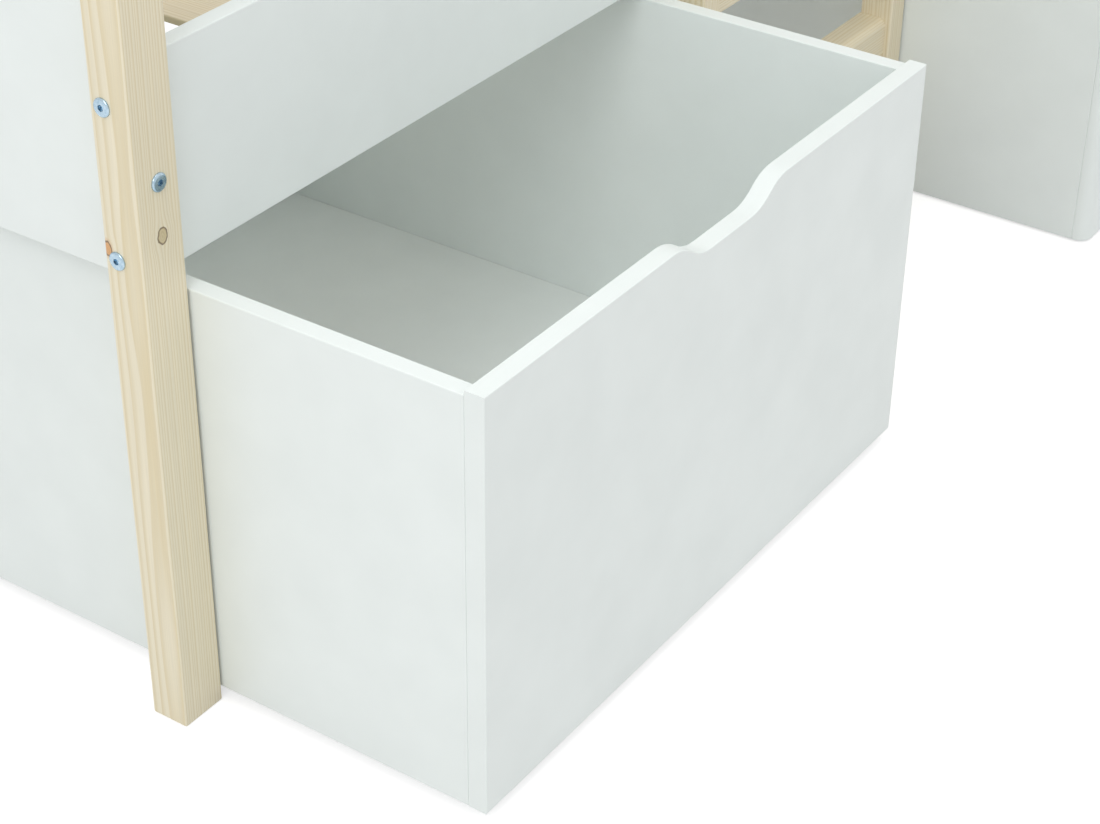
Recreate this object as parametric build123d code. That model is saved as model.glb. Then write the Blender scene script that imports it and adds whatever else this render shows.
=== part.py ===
from build123d import *
import os
from math import hypot

# A mid sleeper bed: corner posts, white boards, guards, a fixed ladder and two deep storage
# drawers that roll on hidden castors. Sizes are in millimetres. Every piece is drawn from the
# outer corner of the front left post, at floor level: X runs along the bed, Y from its front
# to its back, Z up. save() then moves the origin to the middle of the whole footprint.

# Bed frame
BED_LENGTH = 2090.0
BED_WIDTH = 1000.0
POST_X = 56.0
POST_Y = 45.0
POST_ROUND = 2.5
POST_ABOVE_GUARD = 65.0

# White boards of the frame
BOARD_THICKNESS = 20.0
BOARD_INSET = 20.0
BOARD_ROUND = 1.5
BOARD_BOTTOM = 507.0
SIDE_BOARD_HEIGHT = 216.0
GUARD_GAP = 71.0
GUARD_HEIGHT = 216.0
END_PANEL_DROP = 20.0

# Mattress base
LEDGE_THICKNESS = 22.0
LEDGE_HEIGHT = 30.0
LEDGE_END_GAP = 6.0
SLAT_COUNT = 14
SLAT_WIDTH = 68.0
SLAT_THICKNESS = 8.0
SLAT_END_GAP = 3.0
SLAT_START = 139.0
SLAT_BELOW_BOARD = 33.0
SLAT_ROUND = 1.5

# Ladder
LADDER_WIDTH = 549.0
LADDER_GAP = 34.0
UPRIGHT_X = 38.0
UPRIGHT_Y = 48.0
UPRIGHT_ROUND = 3.0
UPRIGHT_TOP_ROUND = 12.0
UPRIGHT_ABOVE_GUARD = 25.0
RUNG_COUNT = 3
RUNG_RISE = 225.0
RUNG_DEPTH = 40.0
RUNG_HEIGHT = 56.0
RUNG_ROUND = 4.0
RUNG_FRONT_ROUND = 12.0

# Furniture bolts with barrel nuts
BOLT_HEAD_RADIUS = 9.3
BOLT_HEAD_HEIGHT = 2.4
BOLT_HEAD_CHAMFER = 0.9
BOLT_NECK_RADIUS = 4.6
BOLT_NECK_LENGTH = 5.5
BOLT_SHANK_RADIUS = 3.0
BOLT_HEX_ACROSS = 5.0
BOLT_HEX_DEPTH = 4.5
BOLT_PAST_NUT = 3.0
BOLT_HOLE_PLAY = 0.4
BOLT_LOW_EDGE = 29.5
BOLT_HIGH_EDGE = 33.5
BARREL_RADIUS = 5.0
BARREL_LENGTH = 14.0
BARREL_DEPTH = 34.0
BARREL_PLAY = 0.1
THREAD_PLAY = 0.05

# Dowels
DOWEL_RADIUS = 4.0
DOWEL_IN_POST = 18.0
DOWEL_IN_BOARD = 22.0
DOWEL_PLAY = 0.1
DOWEL_FROM_BOLT = 34.0

# Ladder bolts, with a flanged sleeve nut on the inside of the board
LADDER_BOLT_EDGE = 36.0
LADDER_BOLT_SPACING = 72.0
SLEEVE_FLANGE_RADIUS = 8.0
SLEEVE_FLANGE_HEIGHT = 2.0
SLEEVE_RADIUS = 4.6
SLEEVE_LENGTH = 15.0

# Wood screws: head radius, head height, shank radius, length
RUNG_SCREW = (5.0, 3.2, 2.5, 80.0)
RUNG_SCREW_SPACING = 26.0
LEDGE_SCREW = (4.0, 2.6, 2.0, 36.0)
LEDGE_SCREW_COUNT = 7
LEDGE_SCREW_EDGE = 70.0
SLAT_SCREW = (3.4, 2.0, 1.6, 25.0)
BACK_SCREW = (5.0, 3.2, 2.5, 50.0)
BACK_SCREW_EDGE = 60.0
SCREW_PLAY = 0.1

# Storage drawers
DRAWER_PULLED_OUT = 355.0
DRAWER_SIDE_GAP = 3.0
DRAWER_LADDER_GAP = 4.0
DRAWER_BACK_GAP = 10.0
DRAWER_TOP_GAP = 13.0
WIDE_DRAWER_WIDTH = 834.0
WIDE_DRAWER_BOTTOM = 14.0
NARROW_DRAWER_BOTTOM = 3.0
NARROW_CORNER_ROUND = 19.0
PANEL_THICKNESS = 20.0
PANEL_ROUND = 1.2
FRONT_THICKNESS = 22.0
SIDE_BELOW_FRONT = 5.0
DRAWER_BACK_TOP = 330.0
FLOOR_THICKNESS = 12.0
FLOOR_TONGUE = 6.0
GROOVE_DEPTH = 6.0
GROOVE_PLAY = 0.4
GRIP_WIDTH = 148.0
GRIP_DEPTH = 24.0
GRIP_FLANK = 72.0

# Drawer fittings
CAM_RADIUS = 7.5
CAM_LENGTH = 12.0
CAM_FROM_FRONT = 34.0
CAM_PLAY = 0.1
CAM_BOLT_RADIUS = 3.0
CAM_BOLT_IN_FRONT = 11.0
CAM_BOLT_HOLE_RADIUS = 4.0
CAM_EDGE = 110.0
PANEL_DOWEL_IN_FRONT = 11.0
PANEL_DOWEL_IN_SIDE = 20.0
PANEL_DOWEL_EDGE = 75.0

# Castors
WHEEL_RADIUS = 22.0
WHEEL_WIDTH = 18.0
WHEEL_ROUND = 2.5
WHEEL_HUB_RADIUS = 14.0
WHEEL_HUB_RECESS = 2.0
WHEEL_BOSS_RADIUS = 5.0
WHEEL_SIDE_PLAY = 0.6
WHEEL_TOP_GAP = 6.0
AXLE_RADIUS = 2.5
AXLE_PLAY = 0.05
AXLE_HEAD_RADIUS = 4.2
AXLE_HEAD_HEIGHT = 1.6
PLATE_X = 48.0
PLATE_Y = 60.0
PLATE_THICKNESS = 2.0
EAR_WIDTH = 20.0
CASTOR_FROM_SIDE = 62.0
CASTOR_FROM_END = 80.0
CASTOR_SCREW = (3.6, 2.2, 1.7, 11.5)
CASTOR_SCREW_X = 15.0
CASTOR_SCREW_Y = 22.0

# Levels that follow from the sizes above
BOARD_TOP = BOARD_BOTTOM + SIDE_BOARD_HEIGHT
GUARD_BOTTOM = BOARD_TOP + GUARD_GAP
GUARD_TOP = GUARD_BOTTOM + GUARD_HEIGHT
POST_TOP = GUARD_TOP + POST_ABOVE_GUARD
PANEL_TOP = POST_TOP - END_PANEL_DROP
BOARD_INNER = BOARD_INSET + BOARD_THICKNESS
BOARD_MIDDLE = BOARD_INSET + BOARD_THICKNESS / 2
SLAT_TOP = BOARD_TOP - SLAT_BELOW_BOARD
LEDGE_TOP = SLAT_TOP - SLAT_THICKNESS
DRAWER_TOP = BOARD_BOTTOM - DRAWER_TOP_GAP
DRAWER_SIDE_TOP = DRAWER_TOP - SIDE_BELOW_FRONT
FLOOR_UNDERSIDE = 2 * WHEEL_RADIUS + WHEEL_TOP_GAP + PLATE_THICKNESS
FLOOR_TOP = FLOOR_UNDERSIDE + FLOOR_THICKNESS

# Places along and across the bed that follow from the sizes above
WIDE_LEFT = POST_X + DRAWER_SIDE_GAP
WIDE_RIGHT = WIDE_LEFT + WIDE_DRAWER_WIDTH
LADDER_LEFT = WIDE_RIGHT + LADDER_GAP
LADDER_RIGHT = LADDER_LEFT + LADDER_WIDTH
NARROW_LEFT = LADDER_RIGHT + DRAWER_LADDER_GAP
NARROW_RIGHT = BED_LENGTH - POST_X - DRAWER_SIDE_GAP
DRAWER_DEPTH = BED_WIDTH - BOARD_INSET - BOARD_INNER - DRAWER_BACK_GAP
DRAWER_FRONT = BOARD_INSET - DRAWER_PULLED_OUT
DRAWER_REAR = DRAWER_FRONT + DRAWER_DEPTH
UPRIGHT_FRONT = BOARD_INSET - UPRIGHT_Y
ORIGIN_X = BED_LENGTH / 2
ORIGIN_Y = (BED_WIDTH + BOLT_HEAD_HEIGHT + DRAWER_FRONT) / 2

BOARD_LEVELS = ((BOARD_BOTTOM, BOARD_TOP), (GUARD_BOTTOM, GUARD_TOP))
CORNERS = {
    "front_left": (False, False),
    "front_right": (True, False),
    "back_left": (False, True),
    "back_right": (True, True),
}
# How far a cutting tool runs past the face that it opens
CUT_PAST = 2.0


def block(x, y, z, radius=0.0):
    """A board between two limits each way, with its edges rounded."""
    size = [high - low for low, high in (x, y, z)]
    solid = Pos(sum(x) / 2, sum(y) / 2, sum(z) / 2) * Box(*size)
    if radius > 0:
        solid = fillet(solid.edges(), min(radius, 0.4 * min(size)))
    return solid


def rod(start, direction, length, radius):
    """A round bar from start along direction."""
    return extrude(Plane(origin=start, z_dir=direction) * Circle(radius), amount=length)


def along(point, direction, distance):
    """The point that lies a distance from another along a direction."""
    return tuple(p + d * distance for p, d in zip(point, direction))


def place(shape, start, direction):
    """A fastener drawn along +Z, set at start with its tip pointing along direction."""
    return Plane(origin=start, z_dir=direction).location * shape


def group(solids):
    """Like pieces kept together as separate solids."""
    return Compound([solid for piece in solids for solid in piece.solids()])


def at_corner(corner, x, y, z):
    """A point given from the nearest corner of the bed, in bed coordinates."""
    far_x, far_y = CORNERS[corner]
    return (BED_LENGTH - x if far_x else x, BED_WIDTH - y if far_y else y, z)


def corner_along(corner):
    """The direction along the bed, from this corner inwards."""
    return (-1, 0, 0) if CORNERS[corner][0] else (1, 0, 0)


def corner_across(corner):
    """The direction across the bed, from this corner inwards."""
    return (0, -1, 0) if CORNERS[corner][1] else (0, 1, 0)


def furniture_bolt(length):
    """A bolt with a wide flat head, a neck, a plain shank and a hexagon socket."""
    head = Pos(0, 0, -BOLT_HEAD_HEIGHT / 2) * Cylinder(BOLT_HEAD_RADIUS, BOLT_HEAD_HEIGHT)
    head = chamfer(head.edges().group_by(Axis.Z)[0], BOLT_HEAD_CHAMFER)
    neck = rod((0, 0, 0), (0, 0, 1), BOLT_NECK_LENGTH, BOLT_NECK_RADIUS)
    shank = rod((0, 0, 0), (0, 0, 1), length, BOLT_SHANK_RADIUS)
    hexagon = Pos(0, 0, -BOLT_HEAD_HEIGHT) * RegularPolygon(BOLT_HEX_ACROSS / 2, 6, major_radius=False)
    return head + neck + shank - extrude(hexagon, amount=BOLT_HEX_DEPTH)


def bolt_hole(start, direction, length):
    """The stepped hole that a furniture bolt passes through."""
    neck = rod(start, direction, BOLT_NECK_LENGTH + BOLT_HOLE_PLAY, BOLT_NECK_RADIUS + BOLT_HOLE_PLAY)
    shank = rod(start, direction, length + CUT_PAST, BOLT_SHANK_RADIUS + BOLT_HOLE_PLAY)
    return [neck, shank]


def wood_screw(size):
    """A countersunk screw whose head's flat top is at the origin."""
    head_radius, head_height, shank_radius, length = size
    head = Pos(0, 0, head_height / 2) * Cone(head_radius, shank_radius, head_height)
    return head + rod((0, 0, 0), (0, 0, 1), length, shank_radius)


def screw_hole(start, direction, size):
    """A countersunk hole that fits a wood screw."""
    head_radius, head_height, shank_radius, length = size
    sink = Pos(0, 0, head_height / 2) * Cone(head_radius, shank_radius, head_height)
    shaft = rod((0, 0, 0), (0, 0, 1), length + SCREW_PLAY, shank_radius + SCREW_PLAY)
    return [place(sink, start, direction), place(shaft, start, direction)]


def bolt_heights(level):
    """Heights of the two bolts in one end of a board."""
    bottom, top = level
    return (bottom + BOLT_LOW_EDGE, top - BOLT_HIGH_EDGE)


def middle_height(level):
    """Height of the end panel's bolt, midway between the board's two bolts."""
    return sum(bolt_heights(level)) / 2


def board_fixings(corner, level):
    """Bolts and dowels that hold a side board or guard to a post: bolt starts, dowel centres."""
    low, high = bolt_heights(level)
    bolts = [at_corner(corner, 0, BOARD_MIDDLE, height) for height in (low, high)]
    dowels = [
        at_corner(corner, POST_X, BOARD_MIDDLE, height)
        for height in (low + DOWEL_FROM_BOLT, high - DOWEL_FROM_BOLT)
    ]
    return bolts, dowels


def panel_fixings(corner):
    """Bolts and dowels that hold an end panel to a post: bolt starts, dowel centres."""
    bolts = [at_corner(corner, BOARD_MIDDLE, 0, middle_height(level)) for level in BOARD_LEVELS]
    dowels = [
        at_corner(corner, BOARD_MIDDLE, POST_Y, middle_height(level) + offset)
        for level in BOARD_LEVELS
        for offset in (-DOWEL_FROM_BOLT, DOWEL_FROM_BOLT)
    ]
    return bolts, dowels


def dowel_bar(centre, direction, play=0.0):
    """A dowel across a joint; direction points from the post into the board."""
    start = along(centre, direction, -DOWEL_IN_POST - play)
    return rod(start, direction, DOWEL_IN_POST + DOWEL_IN_BOARD + 2 * play, DOWEL_RADIUS + play)


def frame_joints():
    """Every bolted joint at the corners: bolt starts, dowel centres, direction, depth of the
    post, and the direction in which the barrel nut is pushed into the board."""
    joints = []
    for corner in CORNERS:
        lengthways, across = corner_along(corner), corner_across(corner)
        for level in BOARD_LEVELS:
            bolts, dowels = board_fixings(corner, level)
            joints.append((corner, bolts, dowels, lengthways, POST_X, along((0, 0, 0), across, -1)))
        bolts, dowels = panel_fixings(corner)
        joints.append((corner, bolts, dowels, across, POST_Y, along((0, 0, 0), lengthways, -1)))
    return joints


def frame_bolt_length(post_depth):
    """Length of a frame bolt under its head."""
    return post_depth + BARREL_DEPTH + BARREL_RADIUS + BOLT_PAST_NUT


def joint_cutters(joint):
    """Holes for the bolts, dowels and barrel nuts of one corner joint."""
    _, bolts, dowels, direction, post_depth, nut_way = joint
    cutters = []
    for start in bolts:
        cutters += bolt_hole(start, direction, frame_bolt_length(post_depth))
        centre = along(start, direction, post_depth + BARREL_DEPTH)
        deep_end = along(centre, nut_way, BARREL_LENGTH / 2)
        reach = BARREL_LENGTH / 2 + BOARD_THICKNESS / 2 + CUT_PAST
        cutters.append(rod(deep_end, along((0, 0, 0), nut_way, -1), reach, BARREL_RADIUS + BARREL_PLAY))
    cutters += [dowel_bar(centre, direction, DOWEL_PLAY) for centre in dowels]
    return cutters


def frame_fasteners():
    """Bolts, barrel nuts and dowels of all the corner joints."""
    bolts, nuts, dowels = [], [], []
    for _, starts, centres, direction, post_depth, nut_way in frame_joints():
        bolt = furniture_bolt(frame_bolt_length(post_depth))
        for start in starts:
            bolts.append(place(bolt, start, direction))
            centre = along(start, direction, post_depth + BARREL_DEPTH)
            nut_start = along(centre, nut_way, -BARREL_LENGTH / 2)
            nut = rod(nut_start, nut_way, BARREL_LENGTH, BARREL_RADIUS)
            thread_start = along(centre, direction, -2 * BARREL_RADIUS)
            thread = rod(thread_start, direction, 4 * BARREL_RADIUS, BOLT_SHANK_RADIUS + THREAD_PLAY)
            nuts.append(nut - thread)
        dowels += [dowel_bar(centre, direction) for centre in centres]
    return {
        "frame_bolts": group(bolts),
        "frame_barrel_nuts": group(nuts),
        "frame_dowels": group(dowels),
    }


def posts():
    """The four corner posts."""
    made = {}
    for corner in CORNERS:
        x0, y0, _ = at_corner(corner, 0, 0, 0)
        x1, y1, _ = at_corner(corner, POST_X, POST_Y, 0)
        post = block(sorted((x0, x1)), sorted((y0, y1)), (0, POST_TOP), POST_ROUND)
        for joint in frame_joints():
            if joint[0] == corner:
                post -= joint_cutters(joint)
        made[f"{corner}_post"] = post
    return made


def end_cutters(corners, level):
    """Holes in a side board or guard for its corner joints on one level."""
    cutters = []
    for joint in frame_joints():
        lengthways = joint[3][0] != 0
        if joint[0] in corners and lengthways and level[0] < joint[1][0][2] < level[1]:
            cutters += joint_cutters(joint)
    return cutters


def ladder_bolt_points(level, upright):
    """Starts of the bolts that hold a ladder upright to one board, clear of ledge and rungs."""
    middle = upright + UPRIGHT_X / 2
    lower = level[0] + LADDER_BOLT_EDGE
    return [(middle, UPRIGHT_FRONT, height) for height in (lower, lower + LADDER_BOLT_SPACING)]


def upright_lefts():
    """Left edges of the two ladder uprights."""
    return (LADDER_LEFT, LADDER_RIGHT - UPRIGHT_X)


def ladder_bolt_cutters(level, uprights):
    """Holes for the ladder bolts and their sleeve nuts on one level."""
    cutters = []
    for upright in uprights:
        for start in ladder_bolt_points(level, upright):
            cutters += bolt_hole(start, (0, 1, 0), UPRIGHT_Y + BOARD_THICKNESS)
            back = (start[0], BOARD_INNER, start[2])
            sleeve_room = SLEEVE_LENGTH + BOLT_HOLE_PLAY
            cutters.append(rod(back, (0, -1, 0), sleeve_room, SLEEVE_RADIUS + BOLT_HOLE_PLAY))
    return cutters


def ledge_screw_starts(ledge_y, direction):
    """Starts of the screws that hold a slat ledge to its side board."""
    first, last = POST_X + LEDGE_SCREW_EDGE, BED_LENGTH - POST_X - LEDGE_SCREW_EDGE
    pitch = (last - first) / (LEDGE_SCREW_COUNT - 1)
    height = LEDGE_TOP - LEDGE_HEIGHT / 2
    return [((first + pitch * index, ledge_y, height), direction) for index in range(LEDGE_SCREW_COUNT)]


def ledge_sides():
    """Inner face of each slat ledge, and the way its screws point."""
    inner = BOARD_INNER + LEDGE_THICKNESS
    return {"front": (inner, (0, -1, 0)), "back": (BED_WIDTH - inner, (0, 1, 0))}


def side_boards():
    """The two long boards that carry the mattress base."""
    made = {}
    for side in ("front", "back"):
        far = side == "back"
        outer, inner = BOARD_INSET, BOARD_INNER
        y = (BED_WIDTH - inner, BED_WIDTH - outer) if far else (outer, inner)
        board = block((POST_X, BED_LENGTH - POST_X), y, (BOARD_BOTTOM, BOARD_TOP), BOARD_ROUND)
        board -= end_cutters((f"{side}_left", f"{side}_right"), (BOARD_BOTTOM, BOARD_TOP))
        ledge_y, direction = ledge_sides()[side]
        for start, way in ledge_screw_starts(ledge_y, direction):
            board -= screw_hole(start, way, LEDGE_SCREW)
        if not far:
            board -= ladder_bolt_cutters(BOARD_LEVELS[0], upright_lefts())
        made[f"{side}_side_board"] = board
    return made


def guards():
    """Guard boards: two in front, beside the ladder's opening, and one at the back."""
    level = BOARD_LEVELS[1]
    left, right = upright_lefts()
    start, end = POST_X, BED_LENGTH - POST_X
    front_y = (BOARD_INSET, BOARD_INNER)
    back_y = (BED_WIDTH - BOARD_INNER, BED_WIDTH - BOARD_INSET)
    spans = {
        "front_left_guard": ((start, left + UPRIGHT_X), front_y, ("front_left",), (left,)),
        "front_right_guard": ((right, end), front_y, ("front_right",), (right,)),
        "back_guard": ((start, end), back_y, ("back_left", "back_right"), ()),
    }
    made = {}
    for name, (x, y, corners, uprights) in spans.items():
        guard = block(x, y, level, BOARD_ROUND)
        guard -= end_cutters(corners, level)
        if uprights:
            guard -= ladder_bolt_cutters(level, uprights)
        made[name] = guard
    return made


def end_panels():
    """The panels between the posts at the head and the foot."""
    made = {}
    for side in ("left", "right"):
        x = (BOARD_INSET, BOARD_INNER)
        if side == "right":
            x = (BED_LENGTH - BOARD_INNER, BED_LENGTH - BOARD_INSET)
        panel = block(x, (POST_Y, BED_WIDTH - POST_Y), (BOARD_BOTTOM, PANEL_TOP), BOARD_ROUND)
        for joint in frame_joints():
            crossways = joint[3][1] != 0
            if crossways and joint[0].endswith(side):
                panel -= joint_cutters(joint)
        made[f"{side}_end_panel"] = panel
    return made


def slat_lefts():
    """Left edge of each slat, evenly spaced between the end panels."""
    first = BOARD_INNER + SLAT_START
    last = BED_LENGTH - BOARD_INNER - SLAT_START - SLAT_WIDTH
    pitch = (last - first) / (SLAT_COUNT - 1)
    return [first + pitch * index for index in range(SLAT_COUNT)]


def slat_screw_starts():
    """Starts of the screws that hold the slats to the ledges."""
    middle = BOARD_INNER + LEDGE_THICKNESS / 2
    return [
        (left + SLAT_WIDTH / 2, y, SLAT_TOP)
        for left in slat_lefts()
        for y in (middle, BED_WIDTH - middle)
    ]


def mattress_base():
    """Ledges on the side boards, the slats across them and their screws."""
    made = {}
    down = (0, 0, -1)
    slat_cuts = [cut for start in slat_screw_starts() for cut in screw_hole(start, down, SLAT_SCREW)]
    screws = []
    for side, (inner, direction) in ledge_sides().items():
        outer = inner + direction[1] * LEDGE_THICKNESS
        x = (POST_X + LEDGE_END_GAP, BED_LENGTH - POST_X - LEDGE_END_GAP)
        ledge = block(x, sorted((inner, outer)), (LEDGE_TOP - LEDGE_HEIGHT, LEDGE_TOP), BOARD_ROUND)
        ledge -= slat_cuts
        for start, way in ledge_screw_starts(inner, direction):
            ledge -= screw_hole(start, way, LEDGE_SCREW)
            screws.append(place(wood_screw(LEDGE_SCREW), start, way))
        made[f"{side}_slat_ledge"] = ledge
    slats = []
    y = (BOARD_INNER + SLAT_END_GAP, BED_WIDTH - BOARD_INNER - SLAT_END_GAP)
    for left in slat_lefts():
        slat = block((left, left + SLAT_WIDTH), y, (LEDGE_TOP, SLAT_TOP), SLAT_ROUND)
        near = [s for s in slat_screw_starts() if left < s[0] < left + SLAT_WIDTH]
        slats.append(slat - [cut for start in near for cut in screw_hole(start, down, SLAT_SCREW)])
    made["slats"] = group(slats)
    made["ledge_screws"] = group(screws)
    slat_screw = wood_screw(SLAT_SCREW)
    made["slat_screws"] = group([place(slat_screw, start, down) for start in slat_screw_starts()])
    return made


def rung_tops():
    """Top of each rung; the highest is level with the side board."""
    return [BOARD_TOP - RUNG_RISE * index for index in reversed(range(RUNG_COUNT))]


def rung_screws():
    """Starts and directions of the screws through the uprights into the rungs."""
    left, right = upright_lefts()
    middle_y = BOARD_INSET - RUNG_DEPTH / 2
    found = []
    for top in rung_tops():
        for offset in (-RUNG_SCREW_SPACING / 2, RUNG_SCREW_SPACING / 2):
            height = top - RUNG_HEIGHT / 2 + offset
            found.append(((left, middle_y, height), (1, 0, 0)))
            found.append(((right + UPRIGHT_X, middle_y, height), (-1, 0, 0)))
    return found


def ladder_upright(left):
    """One upright, rounded over at its top front edge."""
    y = (UPRIGHT_FRONT, BOARD_INSET)
    top = GUARD_TOP + UPRIGHT_ABOVE_GUARD
    bar = Pos(left + UPRIGHT_X / 2, sum(y) / 2, top / 2) * Box(UPRIGHT_X, UPRIGHT_Y, top)
    top_front = bar.edges().filter_by(Axis.X).group_by(Axis.Z)[-1].sort_by(Axis.Y)[0]
    bar = fillet(top_front, min(UPRIGHT_TOP_ROUND, 0.4 * UPRIGHT_Y))
    bar = fillet(bar.edges().filter_by(Axis.Z), UPRIGHT_ROUND)
    for level in BOARD_LEVELS:
        bar -= ladder_bolt_cutters(level, (left,))
    for start, direction in rung_screws():
        if left <= start[0] <= left + UPRIGHT_X:
            bar -= screw_hole(start, direction, RUNG_SCREW)
    return bar


def ladder_rung(top):
    """One rung, well rounded along its upper front edge where the foot goes."""
    left, right = upright_lefts()
    x = (left + UPRIGHT_X, right)
    y = (BOARD_INSET - RUNG_DEPTH, BOARD_INSET)
    centre = (sum(x) / 2, sum(y) / 2, top - RUNG_HEIGHT / 2)
    rung = Pos(*centre) * Box(x[1] - x[0], RUNG_DEPTH, RUNG_HEIGHT)
    edges = rung.edges().filter_by(Axis.X)
    top_front = edges.group_by(Axis.Z)[-1].sort_by(Axis.Y)[0]
    rung = fillet(top_front, min(RUNG_FRONT_ROUND, 0.4 * RUNG_DEPTH))
    low_edges = rung.edges().filter_by(Axis.X).group_by(Axis.Z)[0]
    rung = fillet(low_edges, RUNG_ROUND)
    for start, direction in rung_screws():
        if abs(start[2] - centre[2]) < RUNG_HEIGHT / 2:
            rung -= screw_hole(start, direction, RUNG_SCREW)
    return rung


def ladder():
    """Uprights, rungs and what fastens them to each other and to the bed."""
    left, right = upright_lefts()
    made = {"ladder_left_upright": ladder_upright(left), "ladder_right_upright": ladder_upright(right)}
    for number, top in enumerate(rung_tops(), start=1):
        made[f"ladder_rung_{number}"] = ladder_rung(top)
    reach = UPRIGHT_Y + BOARD_THICKNESS - BOLT_PAST_NUT
    bolt = furniture_bolt(reach)
    flange = rod((0, 0, 0), (0, 0, -1), SLEEVE_FLANGE_HEIGHT, SLEEVE_FLANGE_RADIUS)
    sleeve = flange + rod((0, 0, 0), (0, 0, 1), SLEEVE_LENGTH, SLEEVE_RADIUS)
    thread_start = (0, 0, BOLT_PAST_NUT - THREAD_PLAY)
    sleeve -= rod(thread_start, (0, 0, 1), SLEEVE_LENGTH, BOLT_SHANK_RADIUS + THREAD_PLAY)
    bolts, nuts = [], []
    for level in BOARD_LEVELS:
        for upright in upright_lefts():
            for start in ladder_bolt_points(level, upright):
                bolts.append(place(bolt, start, (0, 1, 0)))
                nuts.append(place(sleeve, (start[0], BOARD_INNER, start[2]), (0, -1, 0)))
    made["ladder_bolts"] = group(bolts)
    made["ladder_sleeve_nuts"] = group(nuts)
    screw = wood_screw(RUNG_SCREW)
    made["ladder_rung_screws"] = group([place(screw, start, way) for start, way in rung_screws()])
    return made


class Drawer:
    """The places that one storage drawer's pieces share."""

    def __init__(self, name, left, right, bottom, corner_round):
        self.name = name
        self.left, self.right = left, right
        self.bottom = bottom
        self.corner_round = corner_round
        self.inner_left = left + PANEL_THICKNESS
        self.inner_right = right - PANEL_THICKNESS
        self.inner_front = DRAWER_FRONT + FRONT_THICKNESS
        self.inner_rear = DRAWER_REAR - PANEL_THICKNESS

    def side_middles(self):
        """The middle of each side's thickness, and the way to the drawer's inside."""
        half = PANEL_THICKNESS / 2
        return (("left", self.left + half, 1), ("right", self.right - half, -1))

    def joint_heights(self):
        """Heights of the cams and of the dowels in a front corner."""
        cams = (self.bottom + CAM_EDGE, DRAWER_TOP - CAM_EDGE)
        low, high = self.bottom + PANEL_DOWEL_EDGE, DRAWER_TOP - PANEL_DOWEL_EDGE
        return cams, (low, (low + high) / 2, high)

    def castor_places(self):
        """Middle of each castor, by the name of its place."""
        x = {"left": self.left + CASTOR_FROM_SIDE, "right": self.right - CASTOR_FROM_SIDE}
        y = {"front": DRAWER_FRONT + CASTOR_FROM_END, "back": DRAWER_REAR - CASTOR_FROM_END}
        return {f"{end}_{side}": (x[side], y[end]) for end in y for side in x}


def grip_profile(drawer):
    """Outline of a drawer front, seen from the front, with its wave-shaped finger grip."""
    middle = (drawer.left + drawer.right) / 2
    half, flank, deep = GRIP_WIDTH / 2, GRIP_FLANK / 2, GRIP_DEPTH
    points = {
        "start": (middle - half - flank, DRAWER_TOP),
        "left_turn": (middle - half, DRAWER_TOP - deep / 2),
        "left_low": (middle - half + flank, DRAWER_TOP - deep),
        "right_low": (middle + half - flank, DRAWER_TOP - deep),
        "right_turn": (middle + half, DRAWER_TOP - deep / 2),
        "end": (middle + half + flank, DRAWER_TOP),
    }
    slope = (2 * flank * deep, -(flank**2 - deep**2 / 4))
    steepness = 2 * flank * (deep / 2) / (flank**2 - deep**2 / 4)
    length = hypot(1, steepness)
    down, up = (1 / length, -steepness / length), (1 / length, steepness / length)
    outline = [
        Line((drawer.left, drawer.bottom), (drawer.left, DRAWER_TOP)),
        Line((drawer.left, DRAWER_TOP), points["start"]),
        TangentArc(points["start"], points["left_turn"], tangent=(1, 0)),
        TangentArc(points["left_turn"], points["left_low"], tangent=down),
        Line(points["left_low"], points["right_low"]),
        TangentArc(points["right_low"], points["right_turn"], tangent=(1, 0)),
        TangentArc(points["right_turn"], points["end"], tangent=up),
        Line(points["end"], (drawer.right, DRAWER_TOP)),
        Line((drawer.right, DRAWER_TOP), (drawer.right, drawer.bottom)),
        Line((drawer.right, drawer.bottom), (drawer.left, drawer.bottom)),
    ]
    return make_face(outline)


def floor_layer(drawer, reach, top):
    """A layer from the floor's underside up that reaches this far into all four walls."""
    x = (drawer.inner_left - reach, drawer.inner_right + reach)
    y = (drawer.inner_front - reach, drawer.inner_rear + reach)
    return block(x, y, (FLOOR_UNDERSIDE, top))


def groove_cutter(drawer):
    """The groove round the inside of a drawer that its floor's tongue slides into."""
    return floor_layer(drawer, GROOVE_DEPTH, FLOOR_UNDERSIDE + FLOOR_TONGUE + GROOVE_PLAY)


def cam_parts(drawer):
    """Cam discs and cam bolts of a drawer's front corners, and the holes that they need."""
    cams, bolts, cutters = [], [], []
    cam_y = drawer.inner_front + CAM_FROM_FRONT
    for _, middle, inward in drawer.side_middles():
        face = middle + inward * PANEL_THICKNESS / 2
        for height in drawer.joint_heights()[0]:
            out = (-inward, 0, 0)
            disc = rod((face, cam_y, height), out, CAM_LENGTH, CAM_RADIUS)
            socket = rod((middle, cam_y, height), (0, -1, 0), 2 * CAM_RADIUS, CAM_BOLT_HOLE_RADIUS)
            cams.append(disc - socket)
            bolt_start = (middle, drawer.inner_front - CAM_BOLT_IN_FRONT, height)
            bolts.append(rod(bolt_start, (0, 1, 0), CAM_BOLT_IN_FRONT + CAM_FROM_FRONT, CAM_BOLT_RADIUS))
            cutters.append(rod((face, cam_y, height), out, CAM_LENGTH + CAM_PLAY, CAM_RADIUS + CAM_PLAY))
            hole_start = (middle, drawer.inner_front, height)
            cutters.append(rod(hole_start, (0, 1, 0), CAM_FROM_FRONT, CAM_BOLT_HOLE_RADIUS))
            thread = CAM_BOLT_RADIUS + THREAD_PLAY
            cutters.append(rod(bolt_start, (0, 1, 0), CAM_BOLT_IN_FRONT, thread))
    return cams, bolts, cutters


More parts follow.
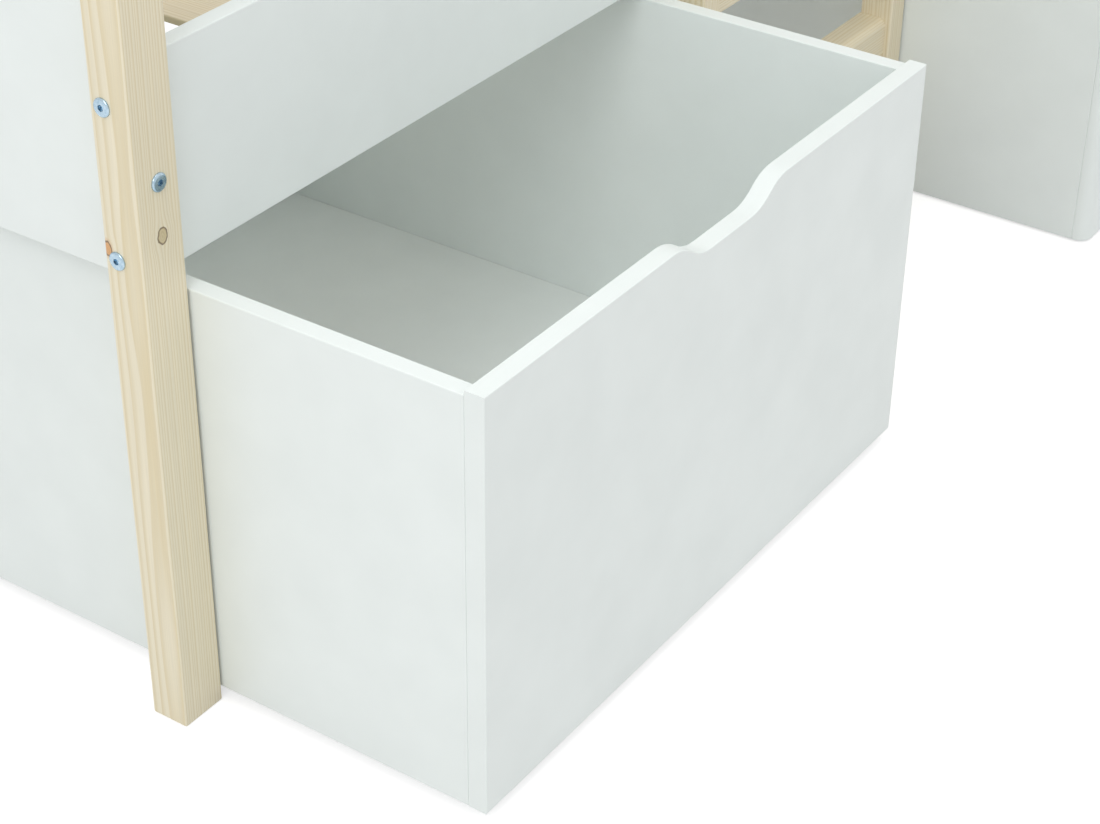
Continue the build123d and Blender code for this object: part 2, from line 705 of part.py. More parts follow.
def panel_dowels(drawer, play=0.0):
    """Dowels between a drawer's front and its sides, or the holes for them."""
    length = PANEL_DOWEL_IN_FRONT + PANEL_DOWEL_IN_SIDE + 2 * play
    start_y = drawer.inner_front - PANEL_DOWEL_IN_FRONT - play
    return [
        rod((middle, start_y, height), (0, 1, 0), length, DOWEL_RADIUS + play)
        for _, middle, _ in drawer.side_middles()
        for height in drawer.joint_heights()[1]
    ]


def back_screw_starts(drawer):
    """Starts and directions of the screws through a drawer's sides into its back."""
    y = DRAWER_REAR - PANEL_THICKNESS / 2
    heights = (FLOOR_TOP + BACK_SCREW_EDGE, DRAWER_BACK_TOP - BACK_SCREW_EDGE)
    found = []
    for height in heights:
        found.append(((drawer.left, y, height), (1, 0, 0)))
        found.append(((drawer.right, y, height), (-1, 0, 0)))
    return found


def drawer_front(drawer, cutters):
    """The front board, with its grip and rounded outer edges."""
    face = Plane.XZ.offset(-DRAWER_FRONT) * grip_profile(drawer)
    board = extrude(face, amount=-FRONT_THICKNESS)
    if drawer.corner_round > PANEL_ROUND:
        front_uprights = board.edges().filter_by(Axis.Z).group_by(Axis.Y)[0]
        board = fillet(front_uprights, min(drawer.corner_round, 0.9 * FRONT_THICKNESS))
    front_face, back_face = board.faces().sort_by(Axis.Y)[0], board.faces().sort_by(Axis.Y)[-1]
    board = fillet(front_face.edges() + back_face.edges(), PANEL_ROUND)
    return board - cutters


def drawer_panels(drawer):
    """The five boards of one drawer, with the fittings that hold them together."""
    cams, cam_bolts, cam_cutters = cam_parts(drawer)
    cutters = cam_cutters + panel_dowels(drawer, DOWEL_PLAY) + [groove_cutter(drawer)]
    screws = back_screw_starts(drawer)
    screw_cutters = [cut for start, way in screws for cut in screw_hole(start, way, BACK_SCREW)]
    made = {"front": drawer_front(drawer, cutters)}
    side_y, side_z = (drawer.inner_front, DRAWER_REAR), (drawer.bottom, DRAWER_SIDE_TOP)
    for side, x in {
        "left_side": (drawer.left, drawer.inner_left),
        "right_side": (drawer.inner_right, drawer.right),
    }.items():
        made[side] = block(x, side_y, side_z, PANEL_ROUND) - cutters - screw_cutters
    inner_x = (drawer.inner_left, drawer.inner_right)
    back = block(inner_x, (drawer.inner_rear, DRAWER_REAR), (drawer.bottom, DRAWER_BACK_TOP), PANEL_ROUND)
    made["back"] = back - cutters - screw_cutters
    made["cam_discs"] = group(cams)
    made["cam_bolts"] = group(cam_bolts)
    made["dowels"] = group(panel_dowels(drawer))
    made["back_screws"] = group([place(wood_screw(BACK_SCREW), start, way) for start, way in screws])
    return made


def castor_screw_points(place_xy):
    """Where one castor's four screws enter its plate."""
    x, y = place_xy
    height = FLOOR_UNDERSIDE - PLATE_THICKNESS
    return [
        (x + sx * CASTOR_SCREW_X, y + sy * CASTOR_SCREW_Y, height)
        for sx in (-1, 1)
        for sy in (-1, 1)
    ]


def drawer_floor(drawer):
    """The floor board: a tongue in the grooves, under a top face that ends at the walls."""
    tongue = floor_layer(drawer, GROOVE_DEPTH - GROOVE_PLAY, FLOOR_UNDERSIDE + FLOOR_TONGUE)
    floor = tongue + floor_layer(drawer, -GROOVE_PLAY, FLOOR_TOP)
    _, head_height, shank, length = CASTOR_SCREW
    for spot in drawer.castor_places().values():
        reach, radius = length - head_height + SCREW_PLAY, shank + SCREW_PLAY
        floor -= [rod(point, (0, 0, 1), reach, radius) for point in castor_screw_points(spot)]
    return floor


def castor_bracket(place_xy):
    """A steel plate with two ears that hold the wheel's axle."""
    x, y = place_xy
    under = FLOOR_UNDERSIDE - PLATE_THICKNESS
    plate_x, plate_y = (x - PLATE_X / 2, x + PLATE_X / 2), (y - PLATE_Y / 2, y + PLATE_Y / 2)
    bracket = block(plate_x, plate_y, (under, FLOOR_UNDERSIDE))
    half_gap = WHEEL_WIDTH / 2 + WHEEL_SIDE_PLAY
    for way in (-1, 1):
        near, far = x + way * half_gap, x + way * (half_gap + PLATE_THICKNESS)
        ear_x = sorted((near, far))
        ear = block(ear_x, (y - EAR_WIDTH / 2, y + EAR_WIDTH / 2), (WHEEL_RADIUS, under))
        ear += rod((ear_x[0], y, WHEEL_RADIUS), (1, 0, 0), PLATE_THICKNESS, EAR_WIDTH / 2)
        bracket += ear
    axle_hole = rod((x - PLATE_X, y, WHEEL_RADIUS), (1, 0, 0), 2 * PLATE_X, AXLE_RADIUS + AXLE_PLAY)
    shank = CASTOR_SCREW[2] + SCREW_PLAY
    holes = [rod(p, (0, 0, 1), PLATE_THICKNESS, shank) for p in castor_screw_points(place_xy)]
    return bracket - axle_hole - holes


def castor_axle(place_xy):
    """A pin through both ears, headed at each end."""
    x, y = place_xy
    outer = WHEEL_WIDTH / 2 + WHEEL_SIDE_PLAY + PLATE_THICKNESS
    pin = rod((x - outer, y, WHEEL_RADIUS), (1, 0, 0), 2 * outer, AXLE_RADIUS)
    for way in (-1, 1):
        pin += rod((x + way * outer, y, WHEEL_RADIUS), (way, 0, 0), AXLE_HEAD_HEIGHT, AXLE_HEAD_RADIUS)
    return pin


def castor_wheel(place_xy):
    """A solid wheel with a rounded tread and a recessed face on each side."""
    x, y = place_xy
    start = (x - WHEEL_WIDTH / 2, y, WHEEL_RADIUS)
    wheel = rod(start, (1, 0, 0), WHEEL_WIDTH, WHEEL_RADIUS)
    wheel = fillet(wheel.edges().filter_by(GeomType.CIRCLE), min(WHEEL_ROUND, 0.4 * WHEEL_WIDTH))
    for way in (-1, 1):
        face = (x + way * WHEEL_WIDTH / 2, y, WHEEL_RADIUS)
        recess = rod(face, (-way, 0, 0), WHEEL_HUB_RECESS, WHEEL_HUB_RADIUS)
        recess -= rod(face, (-way, 0, 0), WHEEL_HUB_RECESS, WHEEL_BOSS_RADIUS)
        wheel -= recess
    return wheel - rod(start, (1, 0, 0), WHEEL_WIDTH, AXLE_RADIUS + AXLE_PLAY)


def castor_screw():
    """A pan-head screw whose head's underside is at the origin."""
    head_radius, head_height, shank_radius, length = CASTOR_SCREW
    head = rod((0, 0, 0), (0, 0, -1), head_height, head_radius)
    return head + rod((0, 0, 0), (0, 0, 1), length - head_height, shank_radius)


def drawer_castors(drawer):
    """Brackets, axles, screws and wheels under one drawer."""
    spots = drawer.castor_places()
    screw, points = castor_screw(), [p for spot in spots.values() for p in castor_screw_points(spot)]
    made = {
        "castor_brackets": group([castor_bracket(spot) for spot in spots.values()]),
        "castor_axles": group([castor_axle(spot) for spot in spots.values()]),
        "castor_screws": group([place(screw, point, (0, 0, 1)) for point in points]),
    }
    for name, spot in spots.items():
        made[f"{name}_wheel"] = castor_wheel(spot)
    return made


def storage_drawer(name, left, right, bottom, corner_round):
    """All the pieces of one drawer, each name starting with the drawer's own."""
    drawer = Drawer(name, left, right, bottom, corner_round)
    pieces = {**drawer_panels(drawer), "floor": drawer_floor(drawer), **drawer_castors(drawer)}
    return {f"{name}_{piece}": shape for piece, shape in pieces.items()}


def build():
    """Every piece of the bed by name, in bed coordinates."""
    pieces = {**posts(), **side_boards(), **end_panels(), **guards()}
    pieces |= frame_fasteners()
    pieces |= mattress_base()
    pieces |= ladder()
    pieces |= storage_drawer("wide_drawer", WIDE_LEFT, WIDE_RIGHT, WIDE_DRAWER_BOTTOM, PANEL_ROUND)
    pieces |= storage_drawer(
        "narrow_drawer", NARROW_LEFT, NARROW_RIGHT, NARROW_DRAWER_BOTTOM, NARROW_CORNER_ROUND
    )
    return pieces


def save(pieces):
    """Writes each piece, with the origin on the floor in the middle of the footprint."""
    os.makedirs("parts", exist_ok=True)
    for name, shape in pieces.items():
        export_step(Pos(-ORIGIN_X, -ORIGIN_Y, 0) * shape, f"parts/{name}.step")


save(build())
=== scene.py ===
import math

import bmesh
import bpy
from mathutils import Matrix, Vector


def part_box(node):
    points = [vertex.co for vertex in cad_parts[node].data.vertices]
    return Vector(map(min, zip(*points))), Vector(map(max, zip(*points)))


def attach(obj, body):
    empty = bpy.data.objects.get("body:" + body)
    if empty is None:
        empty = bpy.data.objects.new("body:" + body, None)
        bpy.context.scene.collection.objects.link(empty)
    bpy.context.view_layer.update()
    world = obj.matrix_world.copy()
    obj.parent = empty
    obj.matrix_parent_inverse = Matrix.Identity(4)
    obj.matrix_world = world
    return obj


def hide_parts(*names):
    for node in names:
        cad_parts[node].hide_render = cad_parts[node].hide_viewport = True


bl_info = {
    "name": "Mid sleeper bed",
    "version": (1, 0, 0),
    "blender": (4, 5, 0),
    "location": "3D View > Sidebar > Bed",
    "description": "Dresses the mid sleeper bed: timber, boards, fittings, castors and stage",
    "category": "Add Mesh",
}

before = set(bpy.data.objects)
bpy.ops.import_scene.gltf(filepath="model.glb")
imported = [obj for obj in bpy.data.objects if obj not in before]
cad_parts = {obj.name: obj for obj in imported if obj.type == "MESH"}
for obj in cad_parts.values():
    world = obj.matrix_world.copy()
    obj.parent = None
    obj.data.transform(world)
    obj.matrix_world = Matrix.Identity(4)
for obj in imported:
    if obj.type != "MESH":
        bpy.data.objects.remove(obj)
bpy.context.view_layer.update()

MM = 0.001
# How far a fastener's head stands above the wood that it is sunk into
PROUD = 0.00015
# Radius of the helper circle that a turned shape is swept along
SWEEP_RADIUS = 0.05
# Points of a CAD piece nearer than this count as level with each other
TOUCH = 0.01 * MM

DRAWERS = ("wide_drawer", "narrow_drawer")
FRAME_BOARDS = (
    "front_side_board", "back_side_board", "left_end_panel", "right_end_panel",
    "front_left_guard", "front_right_guard", "back_guard",
)
WHEEL_PLACES = ("front_left", "front_right", "back_left", "back_right")


def linear(hex_colour):
    """An sRGB hex colour as linear red, green, blue and alpha."""
    parts = [int(hex_colour[i:i + 2], 16) / 255 for i in (0, 2, 4)]
    light = tuple(p / 12.92 if p <= 0.04045 else ((p + 0.055) / 1.055) ** 2.4 for p in parts)
    return light + (1.0,)


def opaque(setting):
    """A colour setting with full alpha."""
    return (*setting, 1.0)


def add(tree, kind, inputs=None, **settings):
    """Adds a node, sets its properties, and fills its inputs with values or links."""
    made = tree.nodes.new(kind)
    for name, value in settings.items():
        setattr(made, name, value)
    for key, value in (inputs or {}).items():
        if isinstance(value, bpy.types.NodeSocket):
            tree.links.new(value, made.inputs[key])
        else:
            made.inputs[key].default_value = value
    return made


def geo(tree, kind, inputs=None, **settings):
    """Adds a node that only Geometry Nodes have, and gives its first output."""
    return add(tree, "GeometryNode" + kind, inputs, **settings).outputs[0]


def calc(tree, operation, *values):
    """The result of a maths node on numbers or sockets."""
    return add(tree, "ShaderNodeMath", dict(enumerate(values)), operation=operation).outputs[0]


def plus(tree, first, second):
    """Two numbers or sockets added."""
    return calc(tree, "ADD", first, second)


def minus(tree, first, second):
    """The second number or socket taken from the first."""
    return calc(tree, "SUBTRACT", first, second)


def times(tree, first, second):
    """Two numbers or sockets multiplied."""
    return calc(tree, "MULTIPLY", first, second)


def vector_calc(tree, operation, *values):
    """The vector that a vector maths node makes of vectors or sockets."""
    made = add(tree, "ShaderNodeVectorMath", dict(enumerate(values)), operation=operation)
    return made.outputs[0]


def scaled(tree, vector, factor):
    """A vector made longer or shorter by a number or socket."""
    made = add(tree, "ShaderNodeVectorMath", {0: vector, "Scale": factor}, operation="SCALE")
    return made.outputs[0]


def length_of(tree, vector):
    """The length of a vector."""
    return add(tree, "ShaderNodeVectorMath", {0: vector}, operation="LENGTH").outputs["Value"]


def remap(tree, value, low, high, to_low=0.0, to_high=1.0, kind="LINEAR"):
    """A value moved from one range to another, and kept inside it."""
    inputs = {"Value": value, "From Min": low, "From Max": high,
              "To Min": to_low, "To Max": to_high}
    return add(tree, "ShaderNodeMapRange", inputs, interpolation_type=kind).outputs["Result"]


def blend(tree, share, first, second, mode="MIX"):
    """Two colours mixed by a share."""
    made = add(tree, "ShaderNodeMix", data_type="RGBA", blend_type=mode)
    # A colour mix has its share at input 0 and its colours at 6 and 7
    for number, value in ((0, share), (6, first), (7, second)):
        socket = made.inputs[number]
        if isinstance(value, bpy.types.NodeSocket):
            tree.links.new(value, socket)
        else:
            socket.default_value = value
    return made.outputs[2]


def noise(tree, place, scale, detail=2.0, roughness=0.5, output="Fac"):
    """Soft noise, 0 to 1, at a place given in millimetres; scale is in waves per millimetre."""
    stretched = vector_calc(tree, "MULTIPLY", place, scale)
    inputs = {"Vector": stretched, "Scale": 1.0, "Detail": detail, "Roughness": roughness}
    return add(tree, "ShaderNodeTexNoise", inputs).outputs[output]


def attribute(tree, name):
    """Reads an attribute that the Geometry Nodes stored on the mesh."""
    return add(tree, "ShaderNodeAttribute", attribute_name=name, attribute_type="GEOMETRY").outputs


def new_material(name):
    """A material with a bare Principled surface, and the place on the piece in millimetres, in
    the row frame."""
    material = bpy.data.materials.new(name)
    material.use_nodes = True
    tree = material.node_tree
    tree.nodes.clear()
    surface = add(tree, "ShaderNodeBsdfPrincipled")
    add(tree, "ShaderNodeOutputMaterial", {"Surface": surface.outputs["BSDF"]})
    place = add(tree, "ShaderNodeTexCoord").outputs["Object"]
    return material, tree, surface, vector_calc(tree, "MULTIPLY", place, (1 / MM, 1 / MM, 1 / MM))


def painted(tree, surface, colour, roughness):
    """Links the surface's colour and roughness."""
    tree.links.new(colour, surface.inputs["Base Color"])
    tree.links.new(roughness, surface.inputs["Roughness"])


def bumped(tree, surface, height, strength, distance):
    """Links a height to the surface as bump; distance is in metres."""
    bump = add(tree, "ShaderNodeBump",
               {"Height": height, "Strength": strength, "Distance": distance})
    tree.links.new(bump.outputs["Normal"], surface.inputs["Normal"])


def knot_marks(tree, place, knots, grain):
    """Pushes the grain aside round each knot. Gives the bent place, the knots' share, their rim,
    their inner rings and their amber share. A knot is a centre in millimetres, its radius, the
    axis that its branch runs along, and how amber it is. grain is the axis of the grain."""
    bent, share, rim, rings, amber = place, 0.0, 0.0, 0.0, 0.0
    for centre, radius, branch, tone in knots:
        shape = [1 / radius] * 3
        shape["XYZ".index(branch)] = 0.0
        shape["XYZ".index(grain)] = 1 / (1.4 * radius)
        aside = [0.0 if axis in (branch, grain) else -0.8 for axis in "XYZ"]
        delta = vector_calc(tree, "SUBTRACT", place, centre)
        ragged = noise(tree, place, (0.12, 0.12, 0.12))
        distance = plus(tree, length_of(tree, vector_calc(tree, "MULTIPLY", delta, shape)),
                        remap(tree, ragged, 0.3, 0.7, -0.16, 0.16))
        # The push on the grain fades with the square of the distance
        fall = calc(tree, "EXPONENT", times(tree, times(tree, distance, distance), -0.3))
        push = scaled(tree, vector_calc(tree, "MULTIPLY", delta, aside), fall)
        bent = vector_calc(tree, "ADD", bent, push)
        inside = remap(tree, distance, 0.82, 1.0, 1.0, 0.0, "SMOOTHSTEP")
        edge = calc(tree, "ABSOLUTE", minus(tree, distance, 1.0))
        share = calc(tree, "MAXIMUM", share, inside)
        rim = calc(tree, "MAXIMUM", rim, remap(tree, edge, 0.05, 0.2, 1.0, 0.0, "SMOOTHSTEP"))
        # Nearly three rings lie between a knot's middle and its rim
        wave = times(tree, calc(tree, "SINE", times(tree, distance, 17.0)), inside)
        rings = calc(tree, "MAXIMUM", rings, wave)
        around = remap(tree, distance, 0.9, 1.7, 1.0, 0.0, "SMOOTHSTEP")
        amber = calc(tree, "MAXIMUM", amber, times(tree, around, tone))
    return bent, share, rim, rings, amber


def pine(name, grain, heart, knots=(), warm=0.0, shift=None):
    """Planed pine under clear satin lacquer. Year rings cut lengthwise give the eye pale bands
    with soft darker edges that bend round the knots, and fine fibres along the piece give it
    a silky sheen. heart is the middle of the trunk, in millimetres in the row frame."""
    timber = bpy.context.scene.bed_timber
    material, tree, surface, place = new_material(name)
    if shift:
        # Each slat is cut from another part of the trunk: its own tint moves the pattern
        tint = attribute(tree, shift)["Fac"]
        moved = add(tree, "ShaderNodeCombineXYZ",
                    {"X": times(tree, tint, 37.0), "Y": times(tree, tint, 900.0)})
        place = vector_calc(tree, "ADD", place, moved.outputs[0])
    bent, knot, rim, knot_rings, amber = knot_marks(tree, place, knots, grain)
    turn = {"X": (0, -math.pi / 2, 0), "Y": (math.pi / 2, 0, 0), "Z": (0, 0, 0)}[grain]
    from_heart = vector_calc(tree, "SUBTRACT", bent, heart)
    along = add(tree, "ShaderNodeMapping", {"Vector": from_heart, "Rotation": turn}).outputs[0]
    # The trunk wanders up to 2.5 mm from a straight line, in waves of about 340 mm
    drift = noise(tree, along, (1 / 60, 1 / 60, 1 / 340), 1.0, output="Color")
    centred = vector_calc(tree, "SUBTRACT", drift, (0.5, 0.5, 0.5))
    crooked = vector_calc(tree, "ADD", along,
                          vector_calc(tree, "MULTIPLY", centred, (5.0, 5.0, 0.0)))
    radius = length_of(tree, vector_calc(tree, "MULTIPLY", crooked, (1.0, 1.0, 0.0)))
    # Some years are wider than others
    uneven = add(tree, "ShaderNodeTexNoise", {"W": radius, "Scale": 1 / 11, "Detail": 1.0},
                 noise_dimensions="1D")
    widened = plus(tree, radius, times(tree, uneven.outputs["Fac"], 5.0))
    year = calc(tree, "FRACT", calc(tree, "DIVIDE", widened, timber.ring_spacing / MM))
    # Pale spring wood darkens slowly to the summer wood, then starts again at once
    late = times(tree, remap(tree, year, 0.3, 0.86, 0.0, 1.0, "SMOOTHSTEP"),
                 remap(tree, year, 0.9, 1.0, 1.0, 0.0, "SMOOTHSTEP"))
    # Fibres are 0.05 mm wide; they are drawn about 0.8 mm wide so that they show
    fibre = noise(tree, along, (1.2, 1.2, 0.014), 3.0, 0.6)
    streak = noise(tree, along, (0.16, 0.16, 0.0035), 2.0)
    dash = remap(tree, noise(tree, along, (2.6, 2.6, 0.06), 1.0), 0.66, 0.76)
    strength = times(tree, late, remap(tree, streak, 0.3, 0.7, 0.55, 1.0))
    colour = blend(tree, strength, opaque(timber.spring_wood), opaque(timber.summer_wood))
    shade = times(tree, remap(tree, fibre, 0.25, 0.75, 0.95, 1.035),
                  remap(tree, streak, 0.25, 0.75, 0.965, 1.02))
    shade = times(tree, shade, remap(tree, dash, 0.0, 1.0, 1.0, 0.93))
    grey = add(tree, "ShaderNodeCombineColor", dict.fromkeys(("Red", "Green", "Blue"), shade))
    colour = blend(tree, 1.0, colour, grey.outputs[0], "MULTIPLY")
    # Painted shade: pieces that stand in shade (slats, ledges, ladder) get their pine darkened and
    # warmed by this tint, in place of the warm light bounced into that shade
    colour = blend(tree, warm, colour, linear("E9C48C"), "MULTIPLY")
    if knots:
        colour = blend(tree, times(tree, amber, 0.5), colour, linear("E0AC72"), "MULTIPLY")
        tone = calc(tree, "MINIMUM", amber, 1.0)
        heartwood = blend(tree, tone, linear("C8B991"), linear("D9A268"))
        heartwood = blend(tree, times(tree, knot_rings, 0.22), heartwood, linear("8A6F4C"))
        colour = blend(tree, times(tree, knot, 0.85), colour, heartwood)
        colour = blend(tree, times(tree, rim, 0.85), colour, linear("664E33"))
    painted(tree, surface, colour, remap(tree, fibre, 0.25, 0.75, 0.36, 0.46))
    surface.inputs["Coat Weight"].default_value = 0.18
    surface.inputs["Coat Roughness"].default_value = 0.3
    height = plus(tree, times(tree, late, 0.35), fibre)
    bumped(tree, surface, height, 0.22, 0.0001)
    return material


def white_lacquer(name):
    """White satin lacquer rolled on wooden board. It gives the eye an even, faintly cool white
    with a very fine peel that softens reflections."""
    boards = bpy.context.scene.bed_boards
    material, tree, surface, place = new_material(name)
    cloud = noise(tree, place, (1 / 70, 1 / 70, 1 / 70), 3.0)
    # Roller peel repeats about every 1.8 mm
    peel = noise(tree, place, (0.55, 0.55, 0.55), 2.0)
    colour = blend(tree, remap(tree, cloud, 0.3, 0.7),
                   opaque(boards.white), opaque(boards.white_shade))
    painted(tree, surface, colour, remap(tree, cloud, 0.3, 0.7, 0.36, 0.44))
    bumped(tree, surface, peel, 0.12, 0.00006)
    return material


def bright_zinc(name):
    """Turned steel with bright zinc plating. It gives the eye a cool silver with a blue tint,
    faint turning rings on the heads, and soft cloudy reflections."""
    fittings = bpy.context.scene.bed_fittings
    material, tree, surface, place = new_material(name)
    own = attribute(tree, "own_place")["Vector"]
    flat = vector_calc(tree, "MULTIPLY", own, (1000.0, 1000.0, 0.0))
    cloud = noise(tree, place, (0.35, 0.35, 0.35), 3.0)
    colour = blend(tree, remap(tree, cloud, 0.3, 0.7),
                   opaque(fittings.zinc), opaque(fittings.zinc_blue))
    painted(tree, surface, colour, remap(tree, cloud, 0.3, 0.7, 0.2, 0.32))
    surface.inputs["Metallic"].default_value = 1.0
    # Turning rings lie 0.5 mm apart on the heads
    rings = calc(tree, "SINE", times(tree, length_of(tree, flat), 2 * math.pi / 0.5))
    bumped(tree, surface, plus(tree, rings, cloud), 0.25, 0.00002)
    return material


def castor_plastic(name):
    """Moulded black polypropylene. It gives the eye a soft dark grey sheen over a fine grain."""
    material, tree, surface, place = new_material(name)
    grain = noise(tree, place, (1.6, 1.6, 1.6), 3.0, 0.6)
    scuff = noise(tree, place, (0.1, 0.1, 0.1), 4.0)
    colour = blend(tree, remap(tree, scuff, 0.45, 0.75), linear("1B1C1E"), linear("2C2C2D"))
    painted(tree, surface, colour, remap(tree, scuff, 0.3, 0.7, 0.48, 0.62))
    bumped(tree, surface, grain, 0.3, 0.00008)
    return material


def turned_beech(name):
    """Fluted beech dowels. They give the eye a warm tan with short dark flecks."""
    material, tree, surface, place = new_material(name)
    # Beech flecks are about 2 mm long and half as wide
    fleck = remap(tree, noise(tree, place, (0.7, 1.1, 0.9), 2.0), 0.56, 0.66)
    pore = noise(tree, place, (3.0, 3.0, 3.0), 2.0)
    colour = blend(tree, times(tree, fleck, 0.5), linear("C9A27A"), linear("9C7148"))
    tree.links.new(colour, surface.inputs["Base Color"])
    surface.inputs["Roughness"].default_value = 0.6
    bumped(tree, surface, pore, 0.3, 0.0001)
    return material


def finish_for(kind):
    """The one shared material of a finish, made when it is first asked for."""
    makers = {
        "white_board": ("white_lacquered_board", white_lacquer),
        "zinc_steel": ("bright_zinc_plated_steel", bright_zinc),
        "wheel_plastic": ("moulded_black_plastic", castor_plastic),
        "beech": ("turned_beech", turned_beech),
    }
    name, make = makers[kind]
    return bpy.data.materials.get(name) or make(name)


def dress(node, material):
    """Gives a CAD node its material."""
    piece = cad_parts[node]
    if not piece.data.materials:
        piece.data.materials.append(material)
    for slot in piece.material_slots:
        slot.material = material


def solids(node):
    """The corner points of each separate solid in a CAD node."""
    mesh = bmesh.new()
    mesh.from_mesh(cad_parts[node].data)
    bmesh.ops.remove_doubles(mesh, verts=mesh.verts, dist=0.002 * MM)
    seen, found = set(), []
    for first in mesh.verts:
        if first in seen:
            continue
        seen.add(first)
        group, open_ends = [], [first]
        while open_ends:
            corner = open_ends.pop()
            group.append(corner.co.copy())
            for edge in corner.link_edges:
                other = edge.other_vert(corner)
                if other not in seen:
                    seen.add(other)
                    open_ends.append(other)
        found.append(group)
    mesh.free()
    return found


def box_of(points):
    """Lowest and highest corner of some points."""
    return (Vector([min(p[i] for p in points) for i in range(3)]),
            Vector([max(p[i] for p in points) for i in range(3)]))


def fasteners(node):
    """Each fastener in a CAD node: the middle of its head's top, the way it points, its length,
    and how far its points lie along and away from its own axis."""
    found = []
    for points in solids(node):
        low, high = box_of(points)
        middle, size = (low + high) / 2, high - low
        axis = max(range(3), key=lambda i: size[i])
        away = Vector([0.0 if i == axis else 1.0 for i in range(3)])
        radii = [((p - middle) * away).length for p in points]
        widest = points[radii.index(max(radii))][axis]
        forward = 1.0 if widest < middle[axis] else -1.0
        head, aim = middle.copy(), Vector([forward if i == axis else 0.0 for i in range(3)])
        head[axis] = low[axis] if forward > 0 else high[axis]
        profile = [((p - head).dot(aim), radius) for p, radius in zip(points, radii)]
        found.append({"head": head, "aim": aim, "reach": size[axis], "profile": profile})
    return found


def head_radius(fastener):
    """The largest radius of a fastener."""
    return max(r for _, r in fastener["profile"])


def head_height(fastener):
    """How far the first step lies below a fastener's top."""
    return min(z for z, _ in fastener["profile"] if z > TOUCH)


def end_radii(fastener):
    """How far from the axis the points at a fastener's far end lie."""
    return [r for z, r in fastener["profile"] if z > fastener["reach"] - TOUCH]


def screw_sizes(screw):
    """Head radius, head height and shank radius of a CAD wood screw."""
    shank = min(r for r in end_radii(screw) if r > 0.5 * MM)
    height = min(z for z, r in screw["profile"] if z > TOUCH and r < 1.02 * shank)
    return head_radius(screw), height, shank


def points_mesh(name, places, fields):
    """A mesh of loose points with one value of each field on each point."""
    mesh = bpy.data.meshes.new(name)
    mesh.from_pydata([tuple(place) for place in places], [], [])
    for field, values in fields.items():
        kind = "FLOAT" if isinstance(values[0], float) else "FLOAT_VECTOR"
        layer = mesh.attributes.new(field, kind, "POINT")
        for item, value in zip(layer.data, values):
            if kind == "FLOAT":
                item.value = value
            else:
                item.vector = value
    return mesh


def placed_heads(node, found, fields=("aim",), lift=0.0):
    """Points at the heads of a CAD node's fasteners, with what the nodes read of each. lift
    moves them out of the wood."""
    heads = [one["head"] - one["aim"] * lift for one in found]
    return points_mesh(node + "_places", heads, {f: [one[f] for one in found] for f in fields})


def new_tree(name, sizes):
    """A Geometry Nodes tree with the named inputs, and those inputs as sockets by name."""
    kinds = {float: "NodeSocketFloat", int: "NodeSocketInt"}
    tree = bpy.data.node_groups.new(name, "GeometryNodeTree")
    tree.interface.new_socket("Geometry", in_out="INPUT", socket_type="NodeSocketGeometry")
    tree.interface.new_socket("Geometry", in_out="OUTPUT", socket_type="NodeSocketGeometry")
    for label, value in sizes.items():
        kind = kinds.get(type(value), "NodeSocketMaterial")
        tree.interface.new_socket(label, in_out="INPUT", socket_type=kind)
    return tree, add(tree, "NodeGroupInput").outputs


def close_tree(tree, given, shape):
    """Ends a tree: instances become real, the material is set, and the result goes out."""
    real = geo(tree, "RealizeInstances", {"Geometry": shape})
    dressed = geo(tree, "SetMaterial",
                  {"Geometry": real, "Material": given["Material"]})
    add(tree, "NodeGroupOutput", {0: dressed})


def grown(name, points, make_tree, sizes, body, nodes, slot):
    """Runs a tree on points, and makes its result a plain piece that stands for CAD nodes. It
    gets the slot's finish, unless sizes brings a material."""
    if "Material" not in sizes:
        sizes["Material"] = finish_for(slot)
    tree = make_tree(sizes)
    helper = bpy.data.objects.new(name + "_points", points)
    bpy.context.scene.collection.objects.link(helper)
    modifier = helper.modifiers.new("Shape", "NODES")
    modifier.node_group = tree
    for item in tree.interface.items_tree:
        if item.in_out == "INPUT" and item.name in sizes:
            modifier[item.identifier] = sizes[item.name]
    graph = bpy.context.evaluated_depsgraph_get()
    mesh = bpy.data.meshes.new_from_object(helper.evaluated_get(graph), depsgraph=graph)
    bpy.data.objects.remove(helper)
    if not mesh.polygons:
        raise RuntimeError(f"{name}: the nodes made no faces")
    mesh.name = name
    mesh.shade_smooth()
    mesh.set_sharp_from_angle(angle=math.radians(32))
    piece = bpy.data.objects.new(name, mesh)
    bpy.context.scene.collection.objects.link(piece)
    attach(piece, body)
    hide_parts(*nodes)


